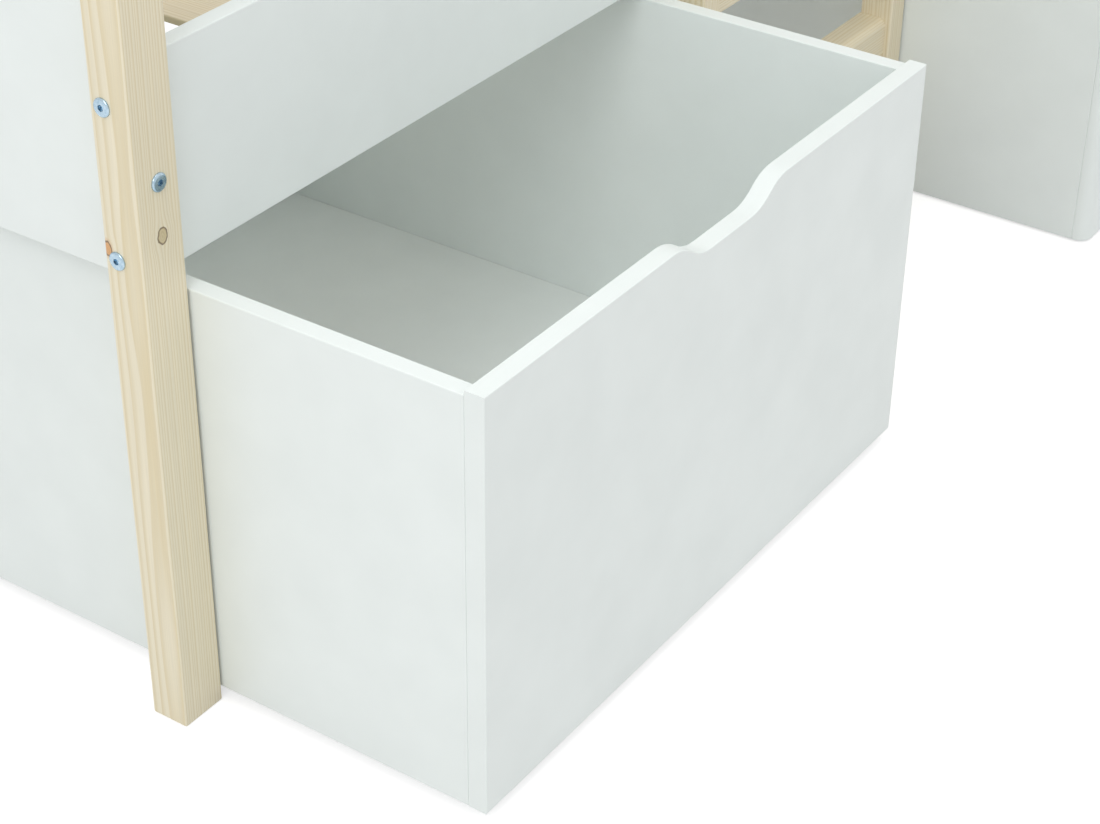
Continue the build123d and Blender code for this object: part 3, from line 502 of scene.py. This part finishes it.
def turned(tree, profile, segments, ring=False):
    """A turned solid round Z. Its profile runs from the top down the outside, and back up the
    bore where it is a ring."""
    line = geo(tree, "MeshLine", {"Count": len(profile)})
    chosen = add(tree, "GeometryNodeIndexSwitch", data_type="VECTOR")
    while len(chosen.index_switch_items) < len(profile):
        chosen.index_switch_items.new()
    tree.links.new(geo(tree, "InputIndex"), chosen.inputs["Index"])
    for number, (radius, height) in enumerate(profile):
        corner = add(tree, "ShaderNodeCombineXYZ", {"X": radius, "Y": height})
        tree.links.new(corner.outputs[0], chosen.inputs[str(number)])
    placed = geo(tree, "SetPosition",
                 {"Geometry": line, "Position": chosen.outputs[0]})
    curve = geo(tree, "MeshToCurve", {"Mesh": placed})
    if ring:
        looped = geo(tree, "SetSplineCyclic", {"Geometry": curve, "Cyclic": True})
        curve = looped
    outline = geo(tree, "Transform",
                  {"Geometry": curve, "Translation": (-SWEEP_RADIUS, 0, 0), "Scale": (1, -1, 1)})
    circle = geo(tree, "CurvePrimitiveCircle",
                 {"Resolution": segments, "Radius": SWEEP_RADIUS})
    level = geo(tree, "SetCurveNormal", {"Curve": circle}, mode="Z_UP")
    swept = geo(tree, "CurveToMesh",
                {"Curve": level, "Profile Curve": outline})
    closed = geo(tree, "MergeByDistance",
                 {"Geometry": swept, "Distance": TOUCH})
    return closed


def cut(tree, shape, *cutters):
    """A shape with cutters taken out of it."""
    made = add(tree, "GeometryNodeMeshBoolean", {"Mesh 1": shape},
               operation="DIFFERENCE", solver="EXACT")
    for cutter in cutters:
        tree.links.new(cutter, made.inputs["Mesh 2"])
    return made.outputs["Mesh"]


def cross_recess(tree, width, across, depth):
    """Two crossed bars that cut the recess for a screwdriver into a head at height 0."""
    tall = times(tree, depth, 2.0)
    bars = []
    for x, y in ((across, width), (width, across)):
        size = add(tree, "ShaderNodeCombineXYZ", {"X": x, "Y": y, "Z": tall})
        bars.append(geo(tree, "MeshCube", {"Size": size.outputs[0]}))
    return bars


def hexagon_bar(tree, given):
    """A six-sided bar that cuts the socket for a hexagon key into a head at height 0."""
    radius = calc(tree, "DIVIDE", given["Socket across"], math.sqrt(3))
    tall = times(tree, given["Socket depth"], 2.0)
    bar = geo(tree, "MeshCylinder", {"Vertices": 6, "Radius": radius, "Depth": tall})
    return bar


def on_points(tree, given, shape, reach=None, start=None):
    """Puts a shape on each point, its +Z along the point's aim and turned at random round it.
    reach stretches it to a length, and start moves it along the aim."""
    own = geo(tree, "InputPosition")
    kept = geo(tree, "StoreNamedAttribute",
               {"Geometry": shape, "Name": "own_place", "Value": own},
               data_type="FLOAT_VECTOR", domain="POINT")
    aim = geo(tree, "InputNamedAttribute", {"Name": "aim"},
              data_type="FLOAT_VECTOR")
    spin = add(tree, "FunctionNodeRandomValue", {0: (0, 0, 0), 1: (0, 0, math.tau), "Seed": 11},
               data_type="FLOAT_VECTOR").outputs[0]
    turn = add(tree, "FunctionNodeEulerToRotation", {0: spin}).outputs[0]
    aimed = add(tree, "FunctionNodeAlignRotationToVector", {"Rotation": turn, "Vector": aim},
                axis="Z")
    points = given["Geometry"]
    if start is not None:
        points = geo(tree, "SetPosition",
                     {"Geometry": points, "Offset": scaled(tree, aim, start)})
    scale = (1.0, 1.0, 1.0)
    if reach is not None:
        scale = add(tree, "ShaderNodeCombineXYZ", {"X": 1.0, "Y": 1.0, "Z": reach}).outputs[0]
    made = geo(tree, "InstanceOnPoints", {
        "Points": points, "Instance": kept,
        "Rotation": aimed.outputs[0], "Scale": scale})
    return made


def joined(tree, *shapes):
    """Several shapes as one."""
    made = add(tree, "GeometryNodeJoinGeometry")
    for shape in shapes:
        tree.links.new(shape, made.inputs[0])
    return made.outputs[0]


def bolt_tree(sizes):
    """Furniture bolts: a wide flat head with a soft rim and a hexagon socket, a neck, a shank."""
    tree, given = new_tree("furniture_bolts", sizes)
    radius, height, thin = (given[k] for k in ("Head radius", "Head height", "Shank radius"))

    def in_from_rim(share):
        return minus(tree, radius, times(tree, height, share))

    def down(share):
        return times(tree, height, share)

    neck_end = plus(tree, height, given["Neck length"])
    head = turned(tree, [
        (0.0, neck_end), (given["Neck radius"], neck_end), (given["Neck radius"], height),
        (radius, height), (radius, down(0.6)), (in_from_rim(0.12), down(0.34)),
        (in_from_rim(0.42), down(0.12)), (in_from_rim(0.9), 0.0), (0.0, 0.0),
    ], 48)
    head = cut(tree, head, hexagon_bar(tree, given))
    # The shank is 1 m long until its point stretches it; it starts 0.5 mm inside the neck
    rod = turned(tree, [(0.0, 1.0), (thin, 1.0), (thin, 0.0), (0.0, 0.0)], 20)
    reach = geo(tree, "InputNamedAttribute", {"Name": "reach"},
                data_type="FLOAT")
    start = minus(tree, neck_end, 0.5 * MM)
    shank = on_points(tree, given, rod, minus(tree, reach, start), start)
    close_tree(tree, given, joined(tree, on_points(tree, given, head), shank))
    return tree


def sleeve_tree(sizes):
    """Sleeve nuts: a thin flange with a hexagon socket on a short sleeve."""
    tree, given = new_tree("sleeve_nuts", sizes)
    radius, height, sleeve, length = (
        given[k] for k in ("Flange radius", "Flange height", "Sleeve radius", "Length"))
    soft = times(tree, height, 0.4)
    body = turned(tree, [
        (0.0, length), (sleeve, length), (sleeve, height), (radius, height), (radius, soft),
        (minus(tree, radius, soft), 0.0), (0.0, 0.0),
    ], 40)
    close_tree(tree, given, on_points(tree, given, cut(tree, body, hexagon_bar(tree, given))))
    return tree


def wood_screw_tree(sizes):
    """Countersunk wood screws with a cross recess and a pointed tip."""
    tree, given = new_tree("wood_screws", sizes)
    radius, shank, reach = given["Head radius"], given["Shank radius"], given["Length"]
    body = turned(tree, [
        (0.0, reach), (times(tree, shank, 0.25), reach),
        (shank, minus(tree, reach, times(tree, shank, 2.5))),
        (shank, given["Head height"]), (radius, PROUD),
        (times(tree, radius, 0.96), 0.0), (0.0, 0.0),
    ], 24)
    bars = cross_recess(tree, times(tree, radius, 0.24), times(tree, radius, 1.1),
                        times(tree, radius, 0.4))
    close_tree(tree, given, on_points(tree, given, cut(tree, body, *bars)))
    return tree


def pan_screw_tree(sizes):
    """Pan-head screws with a domed head and a cross recess."""
    tree, given = new_tree("pan_screws", sizes)
    radius, height, shank = given["Head radius"], given["Head height"], given["Shank radius"]
    body = turned(tree, [
        (0.0, given["Length"]), (shank, given["Length"]), (shank, height), (radius, height),
        (radius, times(tree, height, 0.55)),
        (times(tree, radius, 0.86), times(tree, height, 0.16)),
        (times(tree, radius, 0.5), 0.0), (0.0, 0.0),
    ], 20)
    bars = cross_recess(tree, times(tree, radius, 0.22), times(tree, radius, 0.95),
                        times(tree, height, 0.6))
    close_tree(tree, given, on_points(tree, given, cut(tree, body, *bars)))
    return tree


def cam_tree(sizes):
    """Cam discs: a raised rim round a dished face with a cross recess."""
    tree, given = new_tree("cam_discs", sizes)
    radius = given["Radius"]
    body = turned(tree, [
        (0.0, given["Length"]), (radius, given["Length"]), (radius, 0.5 * MM),
        (minus(tree, radius, 0.5 * MM), 0.0), (minus(tree, radius, 1.3 * MM), 0.0),
        (minus(tree, radius, 1.7 * MM), 0.6 * MM), (0.0, 0.6 * MM),
    ], 32)
    bars = cross_recess(tree, times(tree, radius, 0.26), times(tree, radius, 1.05), 4 * MM)
    close_tree(tree, given, on_points(tree, given, cut(tree, body, *bars)))
    return tree


def wheel_tree(sizes):
    """Castor wheels: a crowned tread with two grooves, a dished hub and ribs on both faces."""
    tree, given = new_tree("castor_wheel", sizes)
    radius, bore, hub, boss = (
        given[k] for k in ("Radius", "Bore radius", "Hub radius", "Boss radius"))
    half = times(tree, given["Width"], 0.5)

    def near(value, less):
        return minus(tree, value, less)

    dish = near(half, given["Hub depth"])
    groove = times(tree, half, 0.36)
    upper = [
        (bore, half), (boss, half), (boss, dish), (hub, dish), (plus(tree, hub, 0.6 * MM), half),
        (near(radius, 2.2 * MM), half), (near(radius, 0.7 * MM), near(half, 0.8 * MM)),
        (near(radius, 0.1 * MM), near(half, 2.4 * MM)), (radius, plus(tree, groove, 0.6 * MM)),
        (near(radius, 0.8 * MM), groove), (radius, near(groove, 0.6 * MM)),
    ]
    lower = [(r, times(tree, h, -1.0)) for r, h in reversed(upper)]
    body = turned(tree, upper + lower, 56, ring=True)
    # Ribs run from the boss to the rim of the hub, a little below both faces
    span = minus(tree, hub, boss)
    size = add(tree, "ShaderNodeCombineXYZ", {
        "X": plus(tree, span, 0.6 * MM), "Y": 1.6 * MM,
        "Z": times(tree, near(half, times(tree, given["Hub depth"], 0.35)), 2.0)})
    bar = geo(tree, "MeshCube", {"Size": size.outputs[0]})
    middle = times(tree, plus(tree, hub, boss), 0.5)
    ring = geo(tree, "MeshCircle",
               {"Vertices": given["Ribs"], "Radius": middle})
    outward = geo(tree, "InputPosition")
    aimed = add(tree, "FunctionNodeAlignRotationToVector", {"Vector": outward}, axis="X")
    ribs = geo(tree, "InstanceOnPoints",
               {"Points": ring, "Instance": bar, "Rotation": aimed.outputs[0]})
    real = geo(tree, "RealizeInstances", {"Geometry": ribs})
    close_tree(tree, given, on_points(tree, given, joined(tree, body, real)))
    return tree


def slat_tree(sizes):
    """Slats: boards with rounded long edges and a countersunk hole near each end."""
    tree, given = new_tree("bed_slats", sizes)
    outline = geo(tree, "CurvePrimitiveQuadrilateral",
                  {"Width": given["Width"], "Height": given["Thickness"]}, mode="RECTANGLE")
    rounded = geo(tree, "FilletCurve",
                  {"Curve": outline, "Radius": given["Rounding"], "Count": 3},
                  mode="POLY")
    half = times(tree, given["Length"], 0.5)
    ends = [add(tree, "ShaderNodeCombineXYZ", {"Y": y}).outputs[0]
            for y in (times(tree, half, -1.0), half)]
    rail = geo(tree, "CurvePrimitiveLine", {"Start": ends[0], "End": ends[1]})
    board = geo(tree, "CurveToMesh", {
        "Curve": rail, "Profile Curve": rounded, "Fill Caps": True})
    top = times(tree, given["Thickness"], 0.5)
    sinks = []
    for way in (-1.0, 1.0):
        cone = geo(tree, "MeshCone", {
            "Vertices": 24, "Radius Top": plus(tree, given["Screw radius"], 0.2 * MM),
            "Radius Bottom": times(tree, given["Screw radius"], 0.3), "Depth": 4.0 * MM})
        spot = add(tree, "ShaderNodeCombineXYZ", {
            "Y": times(tree, given["Screw place"], way), "Z": minus(tree, top, 3.7 * MM)})
        sunk = geo(tree, "Transform",
                   {"Geometry": cone, "Translation": spot.outputs[0]})
        sinks.append(sunk)
    slat = cut(tree, board, *sinks)
    set_out = geo(tree, "InstanceOnPoints",
                  {"Points": given["Geometry"], "Instance": slat})
    tint = add(tree, "FunctionNodeRandomValue", {2: 0.0, 3: 1.0, "Seed": given["Seed"]},
               data_type="FLOAT")
    kept = geo(tree, "StoreNamedAttribute",
               {"Geometry": set_out, "Name": "tint", "Value": tint.outputs[1]},
               data_type="FLOAT", domain="INSTANCE")
    close_tree(tree, given, kept)
    return tree


def colour_setting(name, description, hex_colour):
    """A colour that the panel shows."""
    return bpy.props.FloatVectorProperty(
        name=name, description=description, subtype="COLOR", size=3, min=0, max=1,
        default=linear(hex_colour)[:3])


def length_setting(name, description, low, high, default):
    """A length that the panel shows; its limits and its value are given in millimetres."""
    return bpy.props.FloatProperty(
        name=name, description=description, unit="LENGTH",
        min=low * MM, max=high * MM, default=default * MM)


def power_setting(name, description, watts):
    """A lamp's power that the panel shows."""
    return bpy.props.FloatProperty(
        name=name, description=description, unit="POWER", min=0, max=2000, default=watts)


class BedTimber(bpy.types.PropertyGroup):
    """Colours and growth of the pine."""

    spring_wood: colour_setting("Spring wood", "Pale part of each year ring", "E8DFC6")
    summer_wood: colour_setting("Summer wood", "Darker edge of each year ring", "DBCDA9")
    ring_spacing: length_setting(
        "Ring spacing", "Distance from one year ring to the next", 0.5, 20, 3.6)


class BedBoards(bpy.types.PropertyGroup):
    """Colours of the white lacquer."""

    white: colour_setting("White", "Main white of the lacquer", "EAF0EE")
    white_shade: colour_setting("White, thinner", "White where the lacquer lies thinner", "E7EDEB")


class BedSlats(bpy.types.PropertyGroup):
    """Sizes of the slats that the nodes make."""

    rounding: length_setting("Edge rounding", "Radius of a slat's long edges", 0.2, 3.5, 1.6)
    seed: bpy.props.IntProperty(
        name="Seed", description="Picks which part of the trunk each slat comes from",
        min=0, default=5)


class BedFittings(bpy.types.PropertyGroup):
    """Colours and sizes of the bolts, nuts and screws."""

    zinc: colour_setting("Zinc", "Main colour of the zinc plating", "B9CCD8")
    zinc_blue: colour_setting("Zinc, bluer", "Bluer clouds in the zinc plating", "9DB7C9")
    head_height: length_setting("Head height", "Height of a bolt's head", 1, 6, 2.4)
    neck_radius: length_setting("Neck radius", "Radius of a bolt's neck", 3, 8, 4.6)
    neck_length: length_setting("Neck length", "Length of a bolt's neck", 1, 20, 5.5)
    socket_across: length_setting(
        "Socket", "Width of the hexagon socket across its flats", 2, 10, 6.0)
    socket_depth: length_setting("Socket depth", "Depth of the hexagon socket", 1, 6, 4.5)


class BedCastors(bpy.types.PropertyGroup):
    """Sizes of the castor wheels' faces."""

    hub_radius: length_setting("Hub radius", "Radius of the dish in each face", 6, 18, 14)
    boss_radius: length_setting("Boss radius", "Radius of the boss round the axle", 3, 8, 5)
    hub_depth: length_setting("Hub depth", "Depth of the dish in each face", 0.5, 6, 2)
    ribs: bpy.props.IntProperty(
        name="Ribs", description="Ribs from the boss to the rim", min=3, max=12, default=6)


class BedStage(bpy.types.PropertyGroup):
    """Floor, light and camera."""

    floor_size: length_setting(
        "Floor size", "Length of each side of the floor", 3000, 60000, 24000)
    sky: bpy.props.FloatProperty(
        name="Sky", description="Strength of the even light from all round",
        min=0, max=3, default=0.9)
    floor_glow: bpy.props.FloatProperty(
        name="Floor glow", description="Light that the floor adds where it is seen",
        min=0, max=2, default=0.62)
    key_power: power_setting("Key light", "Power of the large soft lamp at the left", 48)
    fill_power: power_setting("Fill light", "Power of the soft lamp in front", 3)
    top_power: power_setting("Top light", "Power of the soft lamp over the drawers", 12)
    lens: bpy.props.FloatProperty(
        name="Lens", description="Focal length on a 36 mm wide sensor, in millimetres",
        min=10, max=300, default=77.66)
    camera_place: bpy.props.FloatVectorProperty(
        name="Camera place", description="Where the camera stands", subtype="TRANSLATION",
        unit="LENGTH", size=3, default=(-2.3721, -1.6759, 1.5966))
    camera_turn: bpy.props.FloatVectorProperty(
        name="Camera turn", description="How the camera is turned", subtype="EULER",
        unit="ROTATION", size=3,
        default=tuple(math.radians(a) for a in (56.9104, -0.5642, -55.5269)))


class BED_OT_stage(bpy.types.Operator):
    """Makes the white floor, the soft light and the camera"""

    bl_idname = "bed.stage"
    bl_label = "Stage"

    def execute(self, context):
        stage = context.scene.bed_stage
        half = stage.floor_size / 2
        # The floor lies a little below what stands on it, so that no two faces share a plane
        low = -0.2 * MM
        mesh = bpy.data.meshes.new("studio_floor")
        mesh.from_pydata([(-half, -half, low), (half, -half, low), (half, half, low),
                          (-half, half, low)], [], [(0, 1, 2, 3)])
        floor = bpy.data.objects.new("studio_floor", mesh)
        context.scene.collection.objects.link(floor)
        # Matt white studio floor: it keeps the bed's soft shadow, and where the camera or a
        # reflection sees it, a little glow lifts it to the photograph's pure white
        material, tree, surface, place = new_material("matt_white_studio_floor")
        grain = noise(tree, place, (0.02, 0.02, 0.02), 2.0)
        colour = blend(tree, grain, linear("C6C6C6"), linear("CBCBCB"))
        tree.links.new(colour, surface.inputs["Base Color"])
        surface.inputs["Roughness"].default_value = 0.9
        surface.inputs["Specular IOR Level"].default_value = 0.0
        strength = times(tree, seen_directly(tree), stage.floor_glow)
        glow = add(tree, "ShaderNodeEmission", {"Strength": strength})
        both = add(tree, "ShaderNodeAddShader", {0: surface.outputs[0], 1: glow.outputs[0]})
        output = next(n for n in tree.nodes if n.type == "OUTPUT_MATERIAL")
        tree.links.new(both.outputs[0], output.inputs["Surface"])
        mesh.materials.append(material)

        world = bpy.data.worlds.new("even_white_studio")
        world.use_nodes = True
        tree = world.node_tree
        tree.nodes.clear()
        strength = calc(tree, "MAXIMUM", seen_directly(tree), stage.sky)
        backdrop = add(tree, "ShaderNodeBackground",
                       {"Color": linear("FFFFFF"), "Strength": strength})
        add(tree, "ShaderNodeOutputWorld", {"Surface": backdrop.outputs[0]})
        context.scene.world = world

        for name, power, place, target, size in (
            ("key_light", stage.key_power, (-4.2, -1.5, 3.2), (-0.4, -0.5, 0.3), 2.0),
            ("front_fill", stage.fill_power, (0.2, -4.6, 2.4), (0.0, -0.3, 0.4), 2.8),
            ("top_light", stage.top_power, (-0.9, -0.7, 3.4), (-0.5, -0.5, 0.1), 1.6),
        ):
            lamp = bpy.data.lights.new(name, "AREA")
            lamp.energy = power
            lamp.size = size
            holder = bpy.data.objects.new(name, lamp)
            holder.location = place
            aim = Vector(target) - Vector(place)
            holder.rotation_euler = aim.to_track_quat("-Z", "Y").to_euler()
            context.scene.collection.objects.link(holder)

        camera = bpy.data.cameras.new("camera")
        camera.lens = stage.lens
        camera.sensor_fit = "HORIZONTAL"
        camera.sensor_width = 36.0
        camera.clip_end = 60.0
        holder = bpy.data.objects.new("camera", camera)
        holder.location = stage.camera_place
        holder.rotation_euler = stage.camera_turn
        context.scene.collection.objects.link(holder)
        context.scene.camera = holder
        context.scene.view_settings.view_transform = "Standard"
        return {"FINISHED"}


def seen_directly(tree):
    """1 for rays from the camera, in reflections and through glass, and 0 for lighting."""
    path = add(tree, "ShaderNodeLightPath").outputs
    either = calc(tree, "MAXIMUM", path["Is Camera Ray"], path["Is Glossy Ray"])
    return calc(tree, "MAXIMUM", either, path["Is Transmission Ray"])


def middle_mm(node):
    """The middle of a CAD node, in millimetres."""
    low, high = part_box(node)
    return (low + high) / 2 / MM


def dress_timber(cuts, warm=0.0):
    """Gives bars their own pine. A cut is the grain's axis, the heart of the trunk from the bar's
    middle, and the bar's knots as: place from its lowest corner, radius, the way the branch
    runs, and how amber it is, all in millimetres."""
    for node, (grain, heart, knots) in cuts.items():
        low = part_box(node)[0] / MM
        placed = [(low + Vector(place), *rest) for place, *rest in knots]
        dress(node, pine("pine_" + node, grain, middle_mm(node) + Vector(heart), placed, warm))


class BED_OT_posts(bpy.types.Operator):
    """Gives each corner post its own pine"""

    bl_idname = "bed.posts"
    bl_label = "Posts"

    def execute(self, context):
        dress_timber({
            "front_left_post": ("Z", (-90, -12, 0), (
                ((29, 0, 559), 5.8, "Y", 0.0), ((0, 41, 546), 5.2, "X", 1.0),
                ((0, 12, 902), 6.0, "X", 0.7))),
            "front_right_post": ("Z", (82, -58, 0), (
                ((31, 0, 402), 8.0, "Y", 0.3), ((56, 21, 811), 9.0, "X", 0.5))),
            "back_left_post": ("Z", (-70, 66, 0), (
                ((0, 25, 331), 9.0, "X", 0.6), ((24, 45, 760), 7.0, "Y", 0.2))),
            "back_right_post": ("Z", (80, 50, 0), (
                ((56, 18, 447), 8.0, "X", 0.4), ((30, 45, 930), 8.5, "Y", 0.8))),
        })
        return {"FINISHED"}


class BED_OT_boards(bpy.types.Operator):
    """Lacquers the side boards, end panels and guards white"""

    bl_idname = "bed.boards"
    bl_label = "Boards and guards"

    def execute(self, context):
        for node in FRAME_BOARDS:
            dress(node, finish_for("white_board"))
        return {"FINISHED"}


class BED_OT_slats(bpy.types.Operator):
    """Makes the slats, and dresses the ledges that carry them"""

    bl_idname = "bed.slats"
    bl_label = "Slats and ledges"

    def execute(self, context):
        slats = [box_of(points) for points in solids("slats")]
        size = slats[0][1] - slats[0][0]
        screws = fasteners("slat_screws")
        middle = (slats[0][0] + slats[0][1]).y / 2
        settings = context.scene.bed_slats
        sizes = {
            "Width": size.x, "Length": size.y, "Thickness": size.z, "Rounding": settings.rounding,
            "Screw radius": screw_sizes(screws[0])[0],
            "Screw place": abs(screws[0]["head"].y - middle), "Seed": settings.seed,
            # Painted shade: the slats' pine gets the strongest warm tint, standing in for the
            # shade under the boards
            "Material": pine("pine_slats", "Y", Vector((40, 0, 800)), warm=0.22, shift="tint"),
        }
        points = points_mesh("slat_places", [(low + high) / 2 for low, high in slats], {})
        grown("bed_slats", points, slat_tree, sizes, "bed", ["slats"], "pine")
        # Painted shade: the ledges get a milder warm tint for the shade inside the frame
        dress_timber({"front_slat_ledge": ("X", (0, -30, -75), ()),
                      "back_slat_ledge": ("X", (0, 45, -60), ())}, warm=0.1)
        return {"FINISHED"}


class BED_OT_ladder(bpy.types.Operator):
    """Gives the ladder's uprights and rungs their pine"""

    bl_idname = "bed.ladder"
    bl_label = "Ladder"

    def execute(self, context):
        # Painted shade: the ladder's pine gets a slight warm tint for the warm shade that falls on
        # it
        dress_timber({
            "ladder_left_upright": ("Z", (78, -60, 0), (((0, 20, 640), 7.0, "X", 0.6),)),
            "ladder_right_upright": ("Z", (-75, -64, 0), (
                ((0, 30, 212), 6.5, "X", 0.9), ((20, 0, 590), 7.0, "Y", 0.5))),
            "ladder_rung_1": ("X", (0, -62, -58), (((309, 0, 31), 7.0, "Y", 0.9),)),
            "ladder_rung_2": ("X", (0, -40, 85), (((130, 0, 24), 8.0, "Y", 0.4),)),
            "ladder_rung_3": ("X", (0, 70, -66), ()),
        }, warm=0.05)
        return {"FINISHED"}


class BED_OT_bolts(bpy.types.Operator):
    """Makes the bolts of frame and ladder, and dresses the barrel nuts and dowels"""

    bl_idname = "bed.bolts"
    bl_label = "Bolts and dowels"

    def execute(self, context):
        fittings = context.scene.bed_fittings
        for node in ("frame_bolts", "ladder_bolts"):
            bolts = fasteners(node)
            sizes = {
                "Head radius": head_radius(bolts[0]), "Head height": fittings.head_height,
                "Neck radius": fittings.neck_radius, "Neck length": fittings.neck_length,
                "Shank radius": min(r for r in end_radii(bolts[0]) if r > 0),
                "Socket across": fittings.socket_across, "Socket depth": fittings.socket_depth,
            }
            points = placed_heads(node, bolts, ("aim", "reach"))
            grown(node.replace("_bolts", "") + "_furniture_bolts", points, bolt_tree, sizes,
                  "bed", [node], "zinc_steel")
        dress("frame_barrel_nuts", finish_for("zinc_steel"))
        dress("frame_dowels", finish_for("beech"))
        return {"FINISHED"}


class BED_OT_sleeve_nuts(bpy.types.Operator):
    """Makes the sleeve nuts behind the ladder's bolts"""

    bl_idname = "bed.sleeve_nuts"
    bl_label = "Sleeve nuts"

    def execute(self, context):
        nuts = fasteners("ladder_sleeve_nuts")
        sizes = {
            "Flange radius": head_radius(nuts[0]), "Flange height": head_height(nuts[0]),
            "Sleeve radius": max(end_radii(nuts[0])), "Length": nuts[0]["reach"],
            "Socket across": context.scene.bed_fittings.socket_across, "Socket depth": 3.0 * MM,
        }
        points = placed_heads("ladder_sleeve_nuts", nuts)
        grown("ladder_flanged_nuts", points, sleeve_tree, sizes,
              "bed", ["ladder_sleeve_nuts"], "zinc_steel")
        return {"FINISHED"}


def wood_screws(node, body):
    """Makes one CAD node's countersunk screws again, each with its cross recess."""
    screws = fasteners(node)
    radius, height, shank = screw_sizes(screws[0])
    sizes = {
        "Head radius": radius, "Head height": height, "Shank radius": shank,
        "Length": screws[0]["reach"] + PROUD,
    }
    points = placed_heads(node, screws, lift=PROUD)
    grown(node.replace("_screws", "") + "_wood_screws", points, wood_screw_tree, sizes,
          body, [node], "zinc_steel")


class BED_OT_screws(bpy.types.Operator):
    """Makes the wood screws of slats, ledges and rungs"""

    bl_idname = "bed.screws"
    bl_label = "Wood screws"

    def execute(self, context):
        for node in ("slat_screws", "ledge_screws", "ladder_rung_screws"):
            wood_screws(node, "bed")
        return {"FINISHED"}


class BED_OT_drawers(bpy.types.Operator):
    """Lacquers the drawers' boards, and makes their cams and screws"""

    bl_idname = "bed.drawers"
    bl_label = "Drawers"

    def execute(self, context):
        for drawer in DRAWERS:
            for board in ("front", "left_side", "right_side", "back", "floor"):
                dress(f"{drawer}_{board}", finish_for("white_board"))
            dress(drawer + "_cam_bolts", finish_for("zinc_steel"))
            dress(drawer + "_dowels", finish_for("beech"))
            wood_screws(drawer + "_back_screws", drawer)
            middle = middle_mm(drawer + "_floor").x * MM
            heads, aims, node = [], [], drawer + "_cam_discs"
            for points in solids(node):
                low, high = box_of(points)
                outward = -1.0 if (low + high).x / 2 < middle else 1.0
                centre = (low + high) / 2
                heads.append(Vector((low.x if outward > 0 else high.x, centre.y, centre.z)))
                aims.append(Vector((outward, 0, 0)))
            sizes = {"Radius": (high - low).z / 2, "Length": (high - low).x}
            places = points_mesh(node + "_places", heads, {"aim": aims})
            grown(drawer + "_cams", places, cam_tree, sizes, drawer, [node], "zinc_steel")
        return {"FINISHED"}


class BED_OT_castors(bpy.types.Operator):
    """Makes the castors' wheels and screws, and dresses brackets and axles"""

    bl_idname = "bed.castors"
    bl_label = "Castors"

    def execute(self, context):
        castors = context.scene.bed_castors
        for drawer in DRAWERS:
            dress(drawer + "_castor_brackets", finish_for("zinc_steel"))
            dress(drawer + "_castor_axles", finish_for("zinc_steel"))
            node = drawer + "_castor_screws"
            screws = fasteners(node)
            sizes = {
                "Head radius": head_radius(screws[0]), "Head height": head_height(screws[0]),
                "Shank radius": max(end_radii(screws[0])), "Length": screws[0]["reach"],
            }
            grown(drawer + "_pan_screws", placed_heads(node, screws), pan_screw_tree, sizes,
                  drawer, [node], "zinc_steel")
            for place in WHEEL_PLACES:
                node = f"{drawer}_{place}_wheel"
                low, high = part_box(node)
                middle = (low + high) / 2
                bore = min(math.hypot(p.y - middle.y, p.z - middle.z) for p in solids(node)[0])
                sizes = {
                    "Radius": (high - low).z / 2, "Width": (high - low).x, "Bore radius": bore,
                    "Hub radius": castors.hub_radius, "Boss radius": castors.boss_radius,
                    "Hub depth": castors.hub_depth, "Ribs": castors.ribs,
                }
                points = points_mesh(node + "_place", [middle], {"aim": [Vector((1, 0, 0))]})
                grown(node.replace("_wheel", "_castor_wheel"), points, wheel_tree, sizes,
                      node, [node], "wheel_plastic")
        return {"FINISHED"}


STEPS = (BED_OT_stage, BED_OT_posts, BED_OT_boards, BED_OT_slats, BED_OT_ladder, BED_OT_bolts,
         BED_OT_sleeve_nuts, BED_OT_screws, BED_OT_drawers, BED_OT_castors)
SETTINGS = {"bed_timber": BedTimber, "bed_boards": BedBoards, "bed_slats": BedSlats,
            "bed_fittings": BedFittings, "bed_castors": BedCastors, "bed_stage": BedStage}


class BED_PT_panel(bpy.types.Panel):
    """Lists the bed's steps and settings."""

    bl_idname = "BED_PT_panel"
    bl_label = "Mid sleeper bed"
    bl_space_type = "VIEW_3D"
    bl_region_type = "UI"
    bl_category = "Bed"

    def draw(self, context):
        for step in STEPS:
            self.layout.operator(step.bl_idname)
        for group, kind in SETTINGS.items():
            box = self.layout.box()
            for name in kind.__annotations__:
                box.prop(getattr(context.scene, group), name)


def register():
    for kind in (*SETTINGS.values(), *STEPS, BED_PT_panel):
        bpy.utils.register_class(kind)
    for group, kind in SETTINGS.items():
        setattr(bpy.types.Scene, group, bpy.props.PointerProperty(type=kind))


def unregister():
    for group in SETTINGS:
        delattr(bpy.types.Scene, group)
    for kind in (BED_PT_panel, *reversed(STEPS), *reversed(SETTINGS.values())):
        bpy.utils.unregister_class(kind)


def main():
    register()
    for step in STEPS:
        getattr(bpy.ops.bed, step.bl_idname.split(".")[1])()


if __name__ == "__main__":
    main()
